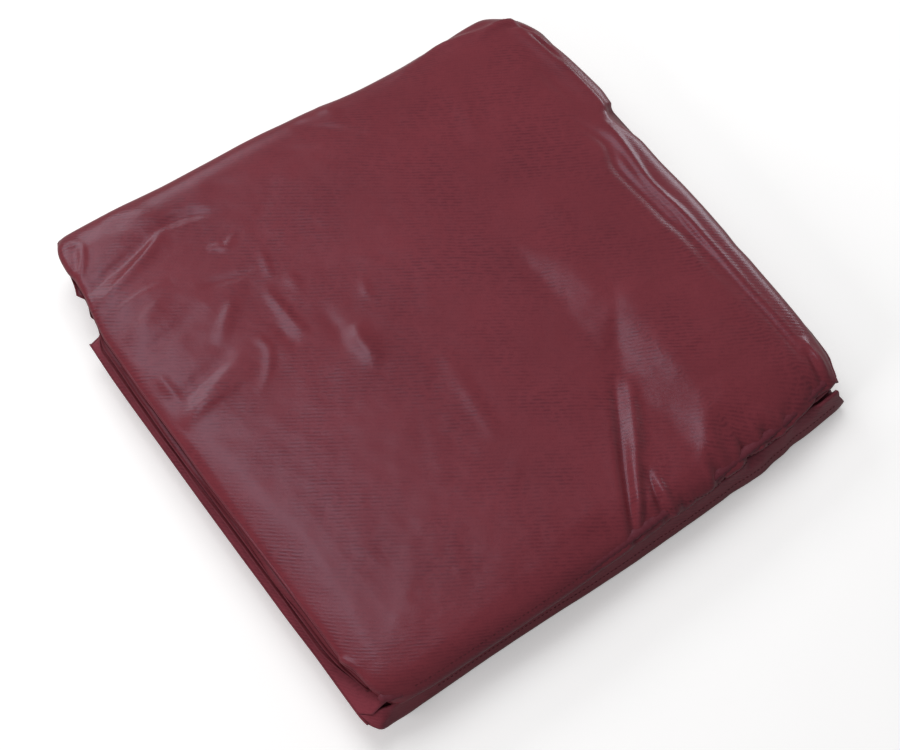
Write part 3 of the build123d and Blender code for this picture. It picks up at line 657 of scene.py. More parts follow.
def top_height(x, y):
    """Broad shape of the top of the packet."""
    h = 0.8 * bell((x, -10, 150), (y, 10, 160))
    h = h + 0.55 * noise(x + 300, y + 100, 95, 5) + 0.22 * noise(x, y, 34, 9)
    # the free end slopes down: a straight margin in front, a rounded fall behind
    margin = 1 - smoothstep(-12, 26, y)
    h = h - margin * 0.105 * soft_positive(np.interp(y, *MARGIN) - x, 1.4)
    rounded = (np.clip((-166 - x) / 37, 0, 1.05)) ** 2.0
    h = h - (1 - margin) * 2.5 * rounded * (1 - 0.5 * smoothstep(90, 160, y))
    # shallow hollow on the -X side of the back half
    h = h - 2.8 * bell((x, -72, 62)) * smoothstep(-10, 40, y) * (1 - smoothstep(150, 192, y))
    for low_edge, high_edge in FACETS:
        y_first, y_last = low_edge[0][0], low_edge[0][-1]
        low_x = np.interp(y, *low_edge)
        high_x = np.maximum(np.interp(y, *high_edge), low_x + 0.5)
        active = (smoothstep(y_first - 7, y_first + 1, y)
                  * (1 - smoothstep(y_last - 4, y_last + 6, y)))
        rise = active * FACET_SLOPE * (soft_positive(x - low_x, 1.6)
                                       - soft_positive(x - high_x, 2.6))
        tall = active * FACET_SLOPE * (high_x - low_x)
        fade = bell((np.maximum(x - high_x, 0), 0, 52))
        h = h + np.where(x < high_x, rise, rise * fade)
        h = h - 0.5 * tall * bell((x, 0.5 * (low_x + high_x), 62))
    return h


def relax(grid, pin, grow, most, frames=14):
    """Cloth simulation: the cloth grows longer than the shape it lies on, so it buckles."""
    rows, columns = grid.shape[:2]
    mesh = bpy.data.meshes.new("sim_sheet")
    mesh.from_pydata((grid.reshape(-1, 3) * MM).tolist(), [], grid_quads(rows, columns).tolist())
    ob = bpy.data.objects.new("sim_sheet", mesh)
    scene = bpy.context.scene
    scene.collection.objects.link(ob)
    for key, weights in (("pin", pin), ("grow", grow)):
        group = ob.vertex_groups.new(name=key)
        weights = np.clip(weights.ravel(), 0, 1)
        for i in np.nonzero(weights > 0.001)[0].tolist():
            group.add([i], float(weights[i]), "REPLACE")
    cloth = ob.modifiers.new("Cloth", "CLOTH")
    settings = cloth.settings
    settings.quality = 6
    settings.mass = 0.012
    settings.tension_stiffness = settings.compression_stiffness = 12
    settings.shear_stiffness = 5
    settings.bending_stiffness = 1.6
    settings.tension_damping = settings.compression_damping = settings.shear_damping = 4
    settings.bending_damping = 0.6
    settings.air_damping = 2.0
    settings.vertex_group_mass = "pin"
    settings.pin_stiffness = 1.0
    # a negative shrink lets the cloth grow
    settings.shrink_min, settings.shrink_max = 0.0, -most
    settings.vertex_group_shrink = "grow"
    settings.effector_weights.gravity = 0.0
    cloth.collision_settings.use_collision = False
    cloth.collision_settings.use_self_collision = False
    cloth.point_cache.frame_start, cloth.point_cache.frame_end = 1, frames
    for frame in range(1, frames + 1):
        scene.frame_set(frame)
    evaluated = ob.evaluated_get(bpy.context.evaluated_depsgraph_get())
    coords = np.empty(len(evaluated.data.vertices) * 3, np.float32)
    evaluated.data.vertices.foreach_get("co", coords)
    relaxed = coords.reshape(rows, columns, 3).astype(float) / MM
    bpy.data.objects.remove(ob)
    bpy.data.meshes.remove(mesh)
    scene.frame_set(1)
    return relaxed


def upsample(coarse, rows, columns, step):
    """Smooth resampling of a coarse grid of displacements."""
    def stretch(values, count):
        source = np.arange(0, count, step)
        t = np.interp(np.arange(count), source, np.arange(len(source)))
        i = np.clip(np.floor(t).astype(int), 0, len(source) - 2)
        near = [values[np.clip(i + k, 0, len(source) - 1)] for k in (-1, 0, 1, 2)]
        return catmull_rom(*near, (t - i)[:, None, None])

    return stretch(stretch(coarse, rows).transpose(1, 0, 2), columns).transpose(1, 0, 2)


def buckling(grid, x, y, top):
    """Displacement of the slack cloth: free on top, held at the lip, folds and underside."""
    step, least_pin, limit = 3, 0.06, 3.0
    free = (top * smoothstep(0, 16, upper_fold_x(y) - x) * smoothstep(4, 26, x - TOP_END_X(y))
            * smoothstep(2, 16, TOP_BACK_Y(x) - y))
    pin = 1 - free * (1 - least_pin)
    slack = (0.12 + 0.75 * bell((x, 130, 60), (y, -190, 42))
             + 0.55 * bell((x, -130, 70), (y, 130, 90))
             + 0.45 * bell((x, 185, 22))
             + 0.35 * bell((y, 195, 22)))
    slack = slack * (1 + 0.5 * noise(x, y, 60, 77)) * smoothstep(0, 0.5, top)
    coarse = (slice(None, None, step), slice(None, None, step))
    move = relax(grid[coarse], pin[coarse], slack[coarse], most=0.018) - grid[coarse]
    size = np.linalg.norm(move, axis=2, keepdims=True)
    move = move * (limit * np.tanh(size / limit) / np.maximum(size, 1e-9))
    for axis in (0, 1):
        move = 0.25 * np.roll(move, 1, axis) + 0.5 * move + 0.25 * np.roll(move, -1, axis)
    return upsample(move, *grid.shape[:2], step)


def top_surface():
    grid, row = top_grid()
    x, y = grid[..., 0], grid[..., 1]
    top = linear(33.5, 39.5, grid[..., 2]) * (row < UNDER_ROW)
    off_fold = smoothstep(0, 9, upper_fold_x(y) - x)
    above_under = row < UNDER_ROW - 6
    broad = top_height(x, y) * top * off_fold
    fine = wrinkle_height(x, y) * linear(31, 35, grid[..., 2]) * above_under * off_fold
    n = normals(grid)
    n *= np.sign((n[..., 2] * top).sum())
    grid = grid + n * (broad + fine)[..., None]
    fall = front_fall(x, y) * linear(34, 40, grid[..., 2])
    grid[..., 2] += fall * above_under * off_fold
    grid = grid + buckling(grid, x, y, top)
    grid[..., 2] += (row >= UNDER_ROW) * off_fold * (0.10 * noise(x, y, 26, 3))
    return grid


# ------------------------------------------------------------------------ materials
class Shader:
    """Node material with short calls for the nodes used here."""

    def __init__(self, name):
        self.material = bpy.data.materials.new(name)
        self.material.use_nodes = True
        self.tree = self.material.node_tree
        self.tree.nodes.clear()
        output = self.tree.nodes.new("ShaderNodeOutputMaterial")
        self.principled = self.tree.nodes.new("ShaderNodeBsdfPrincipled")
        self.tree.links.new(self.principled.outputs[0], output.inputs[0])

    def feed(self, node, inputs):
        """Link sockets and set plain values."""
        for key, value in inputs.items():
            if isinstance(value, bpy.types.NodeSocket):
                self.tree.links.new(value, node.inputs[key])
            else:
                node.inputs[key].default_value = value

    def surface(self, inputs):
        self.feed(self.principled, inputs)

    def node(self, kind, inputs, **settings):
        node = self.tree.nodes.new("ShaderNode" + kind)
        for key, value in settings.items():
            setattr(node, key, value)
        self.feed(node, inputs)
        return node.outputs

    def math(self, operation, *values):
        return self.node("Math", dict(enumerate(values)), operation=operation)[0]

    def mix(self, factor, a, b):
        return self.node("Mix", {0: factor, 6: a, 7: b}, data_type="RGBA")[2]

    def attribute(self, name, output="Fac"):
        return self.node("Attribute", {}, attribute_name=name)[output]

    def remap(self, value, low=0.0, high=1.0, to_low=0.0, to_high=1.0):
        return self.node("MapRange", {"Value": value, "From Min": low, "From Max": high,
                                      "To Min": to_low, "To Max": to_high})[0]

    def noise(self, vector, scale, detail, roughness=0.5):
        return self.node("TexNoise", {"Vector": vector, "Scale": scale, "Detail": detail,
                                      "Roughness": roughness})["Fac"]

    def wave(self, vector, direction, pitch, distortion=0.0, detail_scale=1.0):
        """Sine bands, pitch in metres."""
        return self.node("TexWave", {"Vector": vector, "Scale": 2 * math.pi / pitch / 20.0,
                                     "Distortion": distortion, "Detail Scale": detail_scale},
                         bands_direction=direction)["Fac"]

    def turned(self, vector, degrees):
        return self.node("Mapping", {"Vector": vector,
                                     "Rotation": (0, 0, math.radians(degrees))})[0]

    def bump(self, height, strength, distance):
        return self.node("Bump", {"Height": height, "Strength": strength,
                                  "Distance": distance})[0]


def shade(colour, factor):
    return tuple(v * factor for v in colour[:3]) + (1,)


def coated_cloth(name, base, dark, rough, rib=1.0, specular=0.42):
    """Coated woven cloth: ribs, fine weave and grain, lighter ridges, and hollows and crevices darkened with
    painted shade.
    """
    s = Shader(name)
    weave = s.attribute("weave", "Vector")
    ribs = s.wave(s.turned(weave, 33.0), "Y", pitch=0.0027, distortion=1.6, detail_scale=0.35)
    threads = [s.wave(weave, axis, pitch=0.0009, distortion=0.6) for axis in "XY"]
    grain = s.noise(weave, scale=620.0, detail=3.0, roughness=0.62)
    pebbles = s.node("TexVoronoi", {"Vector": weave, "Scale": 520.0},
                     feature="SMOOTH_F1")["Distance"]
    # the ribs come and go over the cloth, and each is broken into short runs
    patches = s.remap(s.noise(weave, scale=22.0, detail=2.0), 0.38, 0.62, to_low=0.25)
    breaks = s.remap(s.noise(weave, scale=210.0, detail=1.0), 0.36, 0.60, to_low=0.15)
    runs = s.math("MULTIPLY", patches, breaks)

    rib_height = s.math("MULTIPLY", s.math("MULTIPLY", ribs, rib), runs)
    thread_height = s.math("MULTIPLY", s.math("MULTIPLY", *threads), 0.22)
    grain_height = s.math("MULTIPLY", grain, 0.55)
    pebble_height = s.math("MULTIPLY", pebbles, 0.35)
    height = s.math("ADD", s.math("ADD", rib_height, thread_height),
                    s.math("ADD", grain_height, pebble_height))

    # slow mottling, then darker ribs and grain
    mottle = s.noise(weave, scale=16.0, detail=4.0)
    colour = s.mix(s.remap(mottle, 0.1, 0.9), shade(base, 0.88), shade(base, 1.16))
    between = s.math("MULTIPLY", s.math("SUBTRACT", 1.0, ribs), 0.62 * rib)
    colour = s.mix(s.math("MULTIPLY", between, runs), colour, dark)
    specks = s.math("MULTIPLY", s.math("SUBTRACT", grain, 0.5), 1.9)
    colour = s.mix(s.math("ABSOLUTE", specks), colour, dark)
    # ridges lighter; hollows darker, as painted shade
    relief = s.attribute("relief")
    colour = s.mix(s.remap(relief, 0.04, 0.30, to_high=0.35), colour, RIDGE)
    hollow_shade = s.remap(s.math("MULTIPLY", relief, -1.0), 0.03, 0.22, to_high=0.5)
    colour = s.mix(hollow_shade, colour, dark)
    # the uncoated back is duller
    face_side = s.attribute("face_side")
    colour = s.mix(s.math("SUBTRACT", 1.0, face_side), colour, shade(base, 0.72))
    # crevices between the layers are shaded
    occlusion = s.node("AmbientOcclusion", {"Distance": 0.007}, samples=6)["AO"]
    openness = s.remap(occlusion, 0.12, 0.62, to_low=0.30)
    colour = s.mix(openness, shade(dark, 0.25), colour)

    face_rough = s.remap(mottle, to_low=rough, to_high=rough + 0.03)
    back_rough = s.math("MULTIPLY", s.math("SUBTRACT", 1.0, face_side), 0.25)
    s.surface({
        "Base Color": colour,
        "Normal": s.bump(height, strength=1.0, distance=0.000055),
        "Roughness": s.math("ADD", face_rough, back_rough),
        "Specular IOR Level": s.math("MULTIPLY", s.math("POWER", openness, 1.6), specular),
        "Specular Tint": (0.66, 0.80, 1.0, 1),
        "Sheen Weight": 0.02,
        "Sheen Roughness": 0.4,
    })
    return s.material


def braid(name, raised, sunk, pitch):
    """Crossed diagonal yarns, pitch in metres."""
    s = Shader(name)
    weave = s.attribute("weave", "Vector")
    yarns = [s.wave(s.turned(weave, angle), "X", pitch) for angle in (38, -38)]
    height = s.math("MAXIMUM", *yarns)
    s.surface({
        "Base Color": s.mix(height, sunk, raised),
        "Normal": s.bump(height, strength=0.7, distance=0.0003),
        "Roughness": s.remap(height, to_low=0.7, to_high=0.5),
    })
    return s.material


def floor_material():
    """Pale floor, brighter and faintly glowing to the camera than to the other rays."""
    s = Shader("floor_pale")
    is_camera = s.node("LightPath", {})["Is Camera Ray"]
    grit = s.node("TexNoise", {"Scale": 90.0})["Fac"]
    seen = s.mix(grit, (0.90, 0.90, 0.90, 1), (0.93, 0.93, 0.93, 1))
    s.surface({
        "Base Color": s.mix(is_camera, (0.46, 0.44, 0.44, 1), seen),
        "Emission Color": s.mix(is_camera, (0, 0, 0, 1), (1, 1, 1, 1)),
        "Emission Strength": 0.30,
        "Roughness": 0.9,
        "Specular IOR Level": 0.1,
    })
    return s.material


DARK = (0.100, 0.014, 0.023, 1)
RIDGE = (0.235, 0.060, 0.080, 1)
CLOTH = coated_cloth("coated_polyester", base=(0.196, 0.0300, 0.0400, 1), dark=DARK,
                     rough=0.278, specular=0.44)
# the inner plies take a slightly darker copy of the same cloth: painted shade
CLOTH_IN_PAINTED_SHADE = coated_cloth("coated_polyester_inner_painted_shade", base=(0.185, 0.030, 0.040, 1),
                        dark=(0.085, 0.011, 0.017, 1), rough=0.4, rib=0.8)
# the middle and bottom leaves take a lighter copy of the same cloth: painted light
CLOTH_LOW_PAINTED_LIGHT = coated_cloth("coated_polyester_low_painted_light", base=(0.246, 0.0430, 0.0590, 1),
                         dark=(0.120, 0.017, 0.026, 1), rough=0.34, specular=0.34)
HEM = coated_cloth("hem_cloth", base=(0.150, 0.026, 0.037, 1), dark=DARK, rough=0.46, rib=0.7)
ELASTIC = braid("braided_elastic", raised=(0.50, 0.48, 0.46, 1), sunk=(0.16, 0.15, 0.15, 1),
                pitch=0.0016)
THREAD = braid("sewing_thread", raised=(0.135, 0.022, 0.033, 1), sunk=(0.070, 0.010, 0.016, 1),
               pitch=0.0007)


# ------------------------------------------------------------ parts every leaf has
def ply(x_low, x_high, y_low, y_high, z, seed, y_count=90, wave=0.35, droop=0.0, ragged=1.2,
        curl=0.0):
    """Wavy grid for one inner ply. Limits are numbers or functions of the other coordinate."""
    def limit(edge, other):
        return edge(other) if callable(edge) else edge + 0 * other

    spread = np.linspace(0, 1, 90)
    spread = spread**2 if curl else spread
    s, t = np.meshgrid(spread, np.linspace(0, 1, y_count), indexing="ij")
    rough_x = -200 + 400 * s
    y = mix(limit(y_low, rough_x), limit(y_high, rough_x), t)
    x = mix(limit(x_low, y), limit(x_high, y), s)
    y = mix(limit(y_low, x), limit(y_high, x), t)
    x = (x + ragged * noise_along(y, 46, seed, row=seed) * (1 - s) ** 6 * 2
         + ragged * noise_along(y, 38, seed + 4, row=seed) * s**6 * 2)
    z = z + wave * noise(x, y, 40, seed + 9) - droop * (s**12 + (1 - s) ** 12)
    if curl:
        z = z + curl * bell((x, x[:1], 1.1)) * (1 + 0.5 * noise_along(y, 30, seed))
    return np.stack([x, y, z], 2)


def add_plies(leaf, kind, grids):
    """One object holding the inner plies of a leaf; kind is panel or skirt."""
    name = f"{leaf}_{kind}_layers"
    sheets = []
    for k, grid in enumerate(grids):
        outward = np.sign(normals(grid)[grid.shape[0] // 2, grid.shape[1] // 2, 2])
        sheets.append(cloth_sheet(f"{name}_{k + 1}", grid, 0.5, outward))
    for ob in bpy.context.scene.objects:
        ob.select_set(False)
    for ob in sheets:
        ob.select_set(True)
    bpy.context.view_layer.objects.active = sheets[0]
    if len(sheets) > 1:
        bpy.ops.object.join()
    sheets[0].name = name
    # inner plies use the slightly darker cloth copy, painted shade
    add(sheets[0], CLOTH_IN_PAINTED_SHADE, leaf, f"{leaf}_{kind}_plies")


def add_hem(leaf, line, band_x, cord_x, ripple, radii):
    """Rippled hem band and the elastic cord inside it. line(x) gives their shared path."""
    band = tube(f"{leaf}_hem_band", line(band_x), radii[0] * ripple, radii[1] * ripple, 20)
    add(band, HEM, leaf, f"{leaf}_hem")
    cord_radius = 1.25
    cord = tube(f"{leaf}_elastic", line(cord_x), cord_radius, cord_radius)
    add(cord, ELASTIC, leaf, f"{leaf}_elastic_cord")


def add_stitches(leaf, place, path, path_normals):
    row = stitches(f"{leaf}_{place}_stitches", path, path_normals)
    add(row, THREAD, leaf, f"{leaf}_hem_thread")


def ripples(x, height, pitch):
    return 1 + height * np.sin(x * 2 * np.pi / pitch)


# ------------------------------------------------------------------------- top leaf
def peeking_edge(distance, spike_y, spike_length, spike_width):
    """-X edge of a ply that shows beyond the free end, with one pointed spike."""
    def edge(y):
        x = (TOP_END_X(y) + distance * (1 - 1.35 * smoothstep(112, 134, y))
             * (1 - smoothstep(-150, -178, y) * 0.7))
        t = (y - spike_y) / spike_width
        point = np.clip(1 - np.where(t > 0, 0.35 * t, -t), 0, 1)
        return x - spike_length * point * (np.abs(t) < 3)
    return edge


def build_top_leaf():
    leaf = "top_leaf"
    grid = top_surface()
    n = normals(grid)
    cover = cloth_sheet("top_leaf_cover", grid, 0.6, np.sign(n[100, 100, 2]))
    add(cover, CLOTH, leaf, "top_leaf_outer_ply")

    end, fold, front, back = TOP_END_X, upper_fold_x, TOP_FRONT_Y, TOP_BACK_Y
    add_plies(leaf, "panel", [
        ply(peeking_edge(-4.4, 143, 2.6, 5), shifted(fold, -24), shifted(front, 12),
            shifted(back, -14), z=33.2, seed=11, y_count=260, wave=0.12, ragged=0.5, curl=0.7),
        ply(peeking_edge(-2.2, 163, 4.4, 6), shifted(fold, -25), shifted(front, 12),
            shifted(back, -14), z=35.0, seed=12, y_count=260, wave=0.25, ragged=0.5, curl=0.6),
        ply(shifted(end, 9), shifted(fold, -30), shifted(front, 22), shifted(back, -30),
            z=37.6, seed=13, droop=1.0),
        ply(shifted(end, 16), shifted(fold, -34), shifted(front, 40), shifted(back, -36),
            z=39.2, seed=14, droop=1.0),
    ])
    add_plies(leaf, "skirt", [
        ply(shifted(end, 0.6), shifted(fold, -28), shifted(front, 14), 96, z=36.2, seed=21),
        ply(shifted(end, 6.0), shifted(fold, -30), shifted(front, 15), 96, z=37.2, seed=22),
    ])

    def hem_line(x):
        return np.stack([x, TOP_FRONT_Y(x) + 5.4, 36.0 + 0.3 * np.sin(x / 9.0)], 1)

    band_x = np.linspace(-193, 178, 240)
    ripple = ripples(band_x, 0.07, 5.2) + 0.05 * noise_along(band_x, 14, 6)
    add_hem(leaf, hem_line, band_x, np.linspace(-184, 172, 200), ripple, radii=(3.8, 2.1))

    # the stitch line steps down the lip between x = 30 and 66, on the cover's own surface
    columns = np.arange(14, ROLL_COLUMN)
    place = 9.0 - 5.5 * smoothstep(30, 66, grid[columns, 9, 0])
    row = np.floor(place).astype(int)
    t = (place - row)[:, None]
    path = mix(grid[columns, row], grid[columns, row + 1], t)
    out = mix(n[columns, row], n[columns, row + 1], t)
    out = out * np.sign(-n[columns, 9][:, 1].sum())
    add_stitches(leaf, "lip", path + out * 0.40, out)


# ----------------------------------------------------- edges of the lower two leaves
# (x, y) of the bottom leaf's front
BOTTOM_FRONT_Y = smooth_line([
    (-214, -190), (-209, -196), (-205.5, -203), (-202, -209.4), (-199, -210.2), (-195, -209.2),
    (-188, -207.8), (-170, -207), (-140, -206.8), (-100, -207.6), (-72, -208.3), (-44, -209.6),
    (-14, -210.3), (60, -210.3), (75, -210.2), (84, -209.4), (98, -210.4), (111, -210.4),
    (121, -208.4), (132, -208), (140, -206), (150, -206.2), (164, -205.2), (176, -204.2),
    (184, -203.6), (192, -201.5), (200, -197),
], 2)
# (y, distance in) of the -X side from the lower fold line
SIDE_INSET = smooth_line([
    (-212, 7), (-207, 5.4), (-201, 3.4), (-184, 3.1), (-150, 2.9), (-115, 1.7), (-90, 1.4),
    (-67, 0.9), (-20, 0.2), (40, -0.3), (73, -0.7), (100, -0.7), (126, 0.1), (140, 0.3),
], 4)


def low_side_x(y, flap_end):
    """-X side: close to the fold line, tucked in beyond the flap's end."""
    return (LOWER_FOLD_X + SIDE_INSET(y)
            + 19.0 * smoothstep(flap_end - 1.0, flap_end + 1.0, y))


def middle_side_x(y):
    return low_side_x(y, 131.8)


def bottom_side_x(y):
    return low_side_x(y, 122.5)


def lean(x):
    """How far the top of the bottom leaf's front leans in to stay under the top leaf's lip."""
    needed = np.clip(lip_y(x) + 0.8 - (BOTTOM_FRONT_Y(x) + 4.7), 0, 9)
    return needed * (1 - smoothstep(154, 166, x))


def middle_front_y(x):
    """Front edge of the middle leaf, kept behind the bottom leaf's raised front."""
    return np.maximum(-203.4, BOTTOM_FRONT_Y(x) + 7.0 + lean(x))


def middle_fold_x(y):
    """Upper fold as the middle leaf sees it, with its ends drawn in."""
    share = np.where(y < 0, 0.35 + 0.5 * smoothstep(-150, -194, y), 1.0)
    return upper_fold_x(y) + top_fold_shift(y) * share


# ---------------------------------------------------------------------- middle leaf
# Upper and lower ply at the lower fold: distance in from the side, z
MIDDLE_FLAP = curve([(0, 24), (1.3, 24.6), (3.6, 25.6), (6.4, 26.6), (10.2, 28.2), (14.6, 30.3),
                     (20, 31.5)], 16)
MIDDLE_LOWER = curve([(0, 24), (1.4, 24.25), (5, 24.35), (12, 24.35), (20, 24.35)], 16)
# Upper and lower ply at the upper fold: x from the fold, z
FOLD_UPPER = curve([(-20, 31.6), (-10, 31.7), (-4, 31.8), (-1, 31.9), (0, 32)], 10)
FOLD_LOWER = curve([(-20, 24.35), (-12, 24.5), (-7, 25.6), (-3.6, 27.6), (-1.2, 30), (0, 32)], 10)
# Front lip and back crease: y from the edge, z
MIDDLE_LIP = curve([(3.2, 29.6), (1.4, 28.9), (0.2, 29.3), (0, 30.3), (1.2, 31.2), (5, 31.55),
                    (12, 31.6)], 12)
MIDDLE_BACK = curve([(-12, 31.6), (-5, 31.3), (-1.6, 30.3), (0, 28.2), (-1.6, 25.8), (-5, 24.7),
                     (-12, 24.4)], 14)
MIDDLE_TOP_Z, MIDDLE_UNDER_Z = 31.6, 24.4


def middle_surface():
    side_end = len(MIDDLE_FLAP) - 1
    fold_start = side_end + 99
    lip_end = len(MIDDLE_LIP) - 1
    top_end = lip_end + 103
    back_end = top_end + len(MIDDLE_BACK) - 1
    under_rows = 70
    row_ends = (lip_end, top_end, back_end)
    column, row = np.indices((fold_start + len(FOLD_UPPER), back_end + under_rows + 1))
    lip, back = along(MIDDLE_LIP, row), along(MIDDLE_BACK, row, top_end)

    rough_x = -205 + 405 * column / column.shape[0]
    front_y = middle_front_y(rough_x)
    back_y = 202.0 - 7.0 * smoothstep(140, 188, rough_x)
    y = pick(row, row_ends, front_y + lip[..., 0],
             mix(front_y + MIDDLE_LIP[-1, 0], back_y + MIDDLE_BACK[0, 0],
                 linear(lip_end, top_end, row)),
             back_y + back[..., 0],
             mix(back_y + MIDDLE_BACK[-1, 0], front_y + 2,
                 linear(back_end, back_end + under_rows, row)))
    level = pick(row, row_ends, lip[..., 1], MIDDLE_TOP_Z, back[..., 1], MIDDLE_UNDER_Z)
    upper = linear(MIDDLE_UNDER_Z, MIDDLE_TOP_Z, level)     # 1 on the top ply, 0 on the lower

    share = upper[..., None]
    side = mix(along(MIDDLE_LOWER, column), along(MIDDLE_FLAP, column), share)
    fold = mix(along(FOLD_LOWER, column, fold_start), along(FOLD_UPPER, column, fold_start),
               share)
    side_x, fold_x = middle_side_x(y), middle_fold_x(y)
    x = pick(column, (side_end, fold_start), side_x + side[..., 0],
             mix(side_x + MIDDLE_FLAP[-1, 0], fold_x + FOLD_UPPER[0, 0],
                 linear(side_end, fold_start, column)),
             fold_x + fold[..., 0])
    z = pick(column, (side_end - 1, fold_start), side[..., 1], level, fold[..., 1])

    inner = smoothstep(1, 12, x - side_x) * smoothstep(0, 10, fold_x - x)
    z = z + inner * np.where(upper > 0.5, np.minimum(0.12 * noise(x, y, 30, 51), 0.1),
                             0.15 * noise(x, y, 34, 52))
    z = z + upper * bell((x - side_x, 4, 5)) * 0.35 * noise(x, y, 24, 53)
    return np.stack([x, y, z], 2)


def build_middle_leaf():
    leaf = "middle_leaf"
    grid = middle_surface()
    cover = cloth_sheet("middle_leaf_cover", grid, 0.5, np.sign(normals(grid)[60, 60, 2]))
    # lighter copy of the cloth, painted light
    add(cover, CLOTH_LOW_PAINTED_LIGHT, leaf, "middle_leaf_outer_ply")
    side, fold = middle_side_x, upper_fold_x
    add_plies(leaf, "panel", [
        ply(shifted(side, 16), shifted(fold, -16), -196, 194, z=26.2, seed=61, wave=0.2),
        ply(shifted(side, 18), shifted(fold, -17), -195, 193, z=29.7, seed=62, wave=0.2),
    ])
    add_plies(leaf, "skirt", [
        ply(shifted(side, 22), shifted(fold, -20), -194, 92, z=27.9, seed=63, wave=0.2),
    ])

    def hem_line(x, inset=5.2):
        return np.stack([x, middle_front_y(x) + inset, 27.9 + 0.2 * np.sin(x / 11)], 1)

    band_x = np.linspace(-182, 178, 220)
    add_hem(leaf, hem_line, band_x, np.linspace(-182, 176, 180),
            ripples(band_x, 0.06, 5.6), radii=(3.6, 1.9))
    add_stitches(leaf, "hem", hem_line(band_x, inset=1.35), np.tile([0, -1.0, 0], (220, 1)))


# ---------------------------------------------------------------------- bottom leaf
# Outer and inner path at the lower fold: distance in from the side, z
BOTTOM_SIDE = curve([(0, 24), (1.2, 22.6), (3.6, 19.2), (7.2, 14.2), (11.6, 9), (18, 4.2),
                     (27, 1), (34, 0.35)], 18)
BOTTOM_INNER = curve([(0, 24), (1.4, 23.7), (6, 23.55), (14, 23.5), (34, 23.5)], 18)
# Tucked edge of the top ply, back crease and raised front: y from the edge, z
BOTTOM_LIP = curve([(9, 20.6), (6.2, 20.9), (5, 22), (6, 23), (10, 23.4), (18, 23.5)], 12)
BOTTOM_BACK = curve([(-22, 23.5), (-13, 23.1), (-6, 21), (-1.6, 16.6), (0, 11.8), (-1.6, 7),
                     (-6, 2.8), (-13, 0.8), (-22, 0.35)], 22)
BOTTOM_FRONT = curve([(20, 0.35), (9, 0.4), (3.2, 1.2), (0.7, 3.6), (0, 7.5), (0.4, 12),
                      (1.5, 17), (2.5, 21.4), (3.2, 24.9), (3.9, 27.4), (4.7, 28.4),
                      (5.5, 27.8), (5.8, 26), (5.9, 24.6)], 32)
BOTTOM_TOP_Z, BOTTOM_UNDER_Z = 23.5, 0.35
BOTTOM_END_X = 190.0        # +X end
# Last column of the side; last rows of the lip, the top, the back and the underside
B_SIDE_COLUMN = len(BOTTOM_SIDE) - 1
B_LIP_ROW = len(BOTTOM_LIP) - 1
B_TOP_ROW = B_LIP_ROW + 69
B_BACK_ROW = B_TOP_ROW + len(BOTTOM_BACK) - 1
B_UNDER_ROW = B_BACK_ROW + 83


def bottom_surface():
    """Grid of the bottom leaf and its upward-on-top normals before rippling, with their sign."""
    column, row = np.indices((B_SIDE_COLUMN + 120, B_UNDER_ROW + len(BOTTOM_FRONT)))
    row_ends = (B_LIP_ROW, B_TOP_ROW, B_BACK_ROW, B_UNDER_ROW)
    lip = along(BOTTOM_LIP, row)
    back = along(BOTTOM_BACK, row, B_TOP_ROW)
    front = along(BOTTOM_FRONT, row, B_UNDER_ROW)
    side = along(BOTTOM_SIDE, column)
    level = pick(row, row_ends, lip[..., 1], BOTTOM_TOP_Z, back[..., 1], BOTTOM_UNDER_Z,
                 front[..., 1])
    upper = np.clip((level - BOTTOM_UNDER_Z) / 23.2, 0, 1)     # 0 on the underside, 1 on top
    side_in = mix(side[..., 0], along(BOTTOM_INNER, column)[..., 0], upper)
    across_top = linear(B_LIP_ROW, B_TOP_ROW, row)
    across_under = linear(B_BACK_ROW, B_UNDER_ROW, row)
    across_x = linear(B_SIDE_COLUMN, column.shape[0] - 1, column)

    x = -208 + 398 * column / column.shape[0]
    # the plan edges depend on each other's axis, so x and y are settled in turn
    for _ in range(3):
        front_y = BOTTOM_FRONT_Y(x)
        back_y = 200.0 - 8.0 * smoothstep(140, 186, x)
        y = pick(row, row_ends, front_y + lip[..., 0],
                 mix(front_y + BOTTOM_LIP[-1, 0], back_y + BOTTOM_BACK[0, 0], across_top),
                 back_y + back[..., 0],
                 mix(back_y + BOTTOM_BACK[-1, 0], front_y + BOTTOM_FRONT[0, 0], across_under),
                 front_y + front[..., 0] + lean(x) * linear(20, 27.5, front[..., 1]) ** 1.3)
        side_x = bottom_side_x(y)
        end_x = (BOTTOM_END_X + 4.5 * bell((y, -204, 5.0)) - 3.0 * smoothstep(-60, -190, y)
                 - 1.0 * smoothstep(100, 200, y) - 6.0 * smoothstep(176, 198, y)
                 + 1.2 * noise_along(y, 50, 71))
        end_x = end_x - 6.5 * linear(8, 22, level) * smoothstep(-160, -196, y)
        x = pick(column, (B_SIDE_COLUMN,), side_x + side_in,
                 mix(side_x + BOTTOM_SIDE[-1, 0], end_x, across_x))
    # between floor and top the side closes along the outer path
    closing = linear(LOWER_FOLD_Z, BOTTOM_UNDER_Z, side[..., 1])
    z = np.where(column < B_SIDE_COLUMN, LOWER_FOLD_Z - (LOWER_FOLD_Z - level) * closing, level)
    grid = np.stack([x, y, z], 2)

    n = normals(grid)
    outward = np.sign(n[60, 40, 2])
    n = n * outward
    inner = smoothstep(1, 14, x - bottom_side_x(y))
    raised = smoothstep(B_UNDER_ROW, B_UNDER_ROW + 6, row)
    ripple = 0.5 * noise(x, z * 1.5, 34, 81, octaves=3)
    grid = grid + n * (inner * raised * ripple)[..., None]
    flat = (row > B_BACK_ROW) & (row < B_UNDER_ROW) & (column >= B_SIDE_COLUMN)
    resting_z = BOTTOM_UNDER_Z + 0.2 * np.abs(noise(x, y, 30, 82))
    grid[..., 2] = np.maximum(np.where(flat, resting_z, grid[..., 2]), 0.3)
    return grid, n, outward


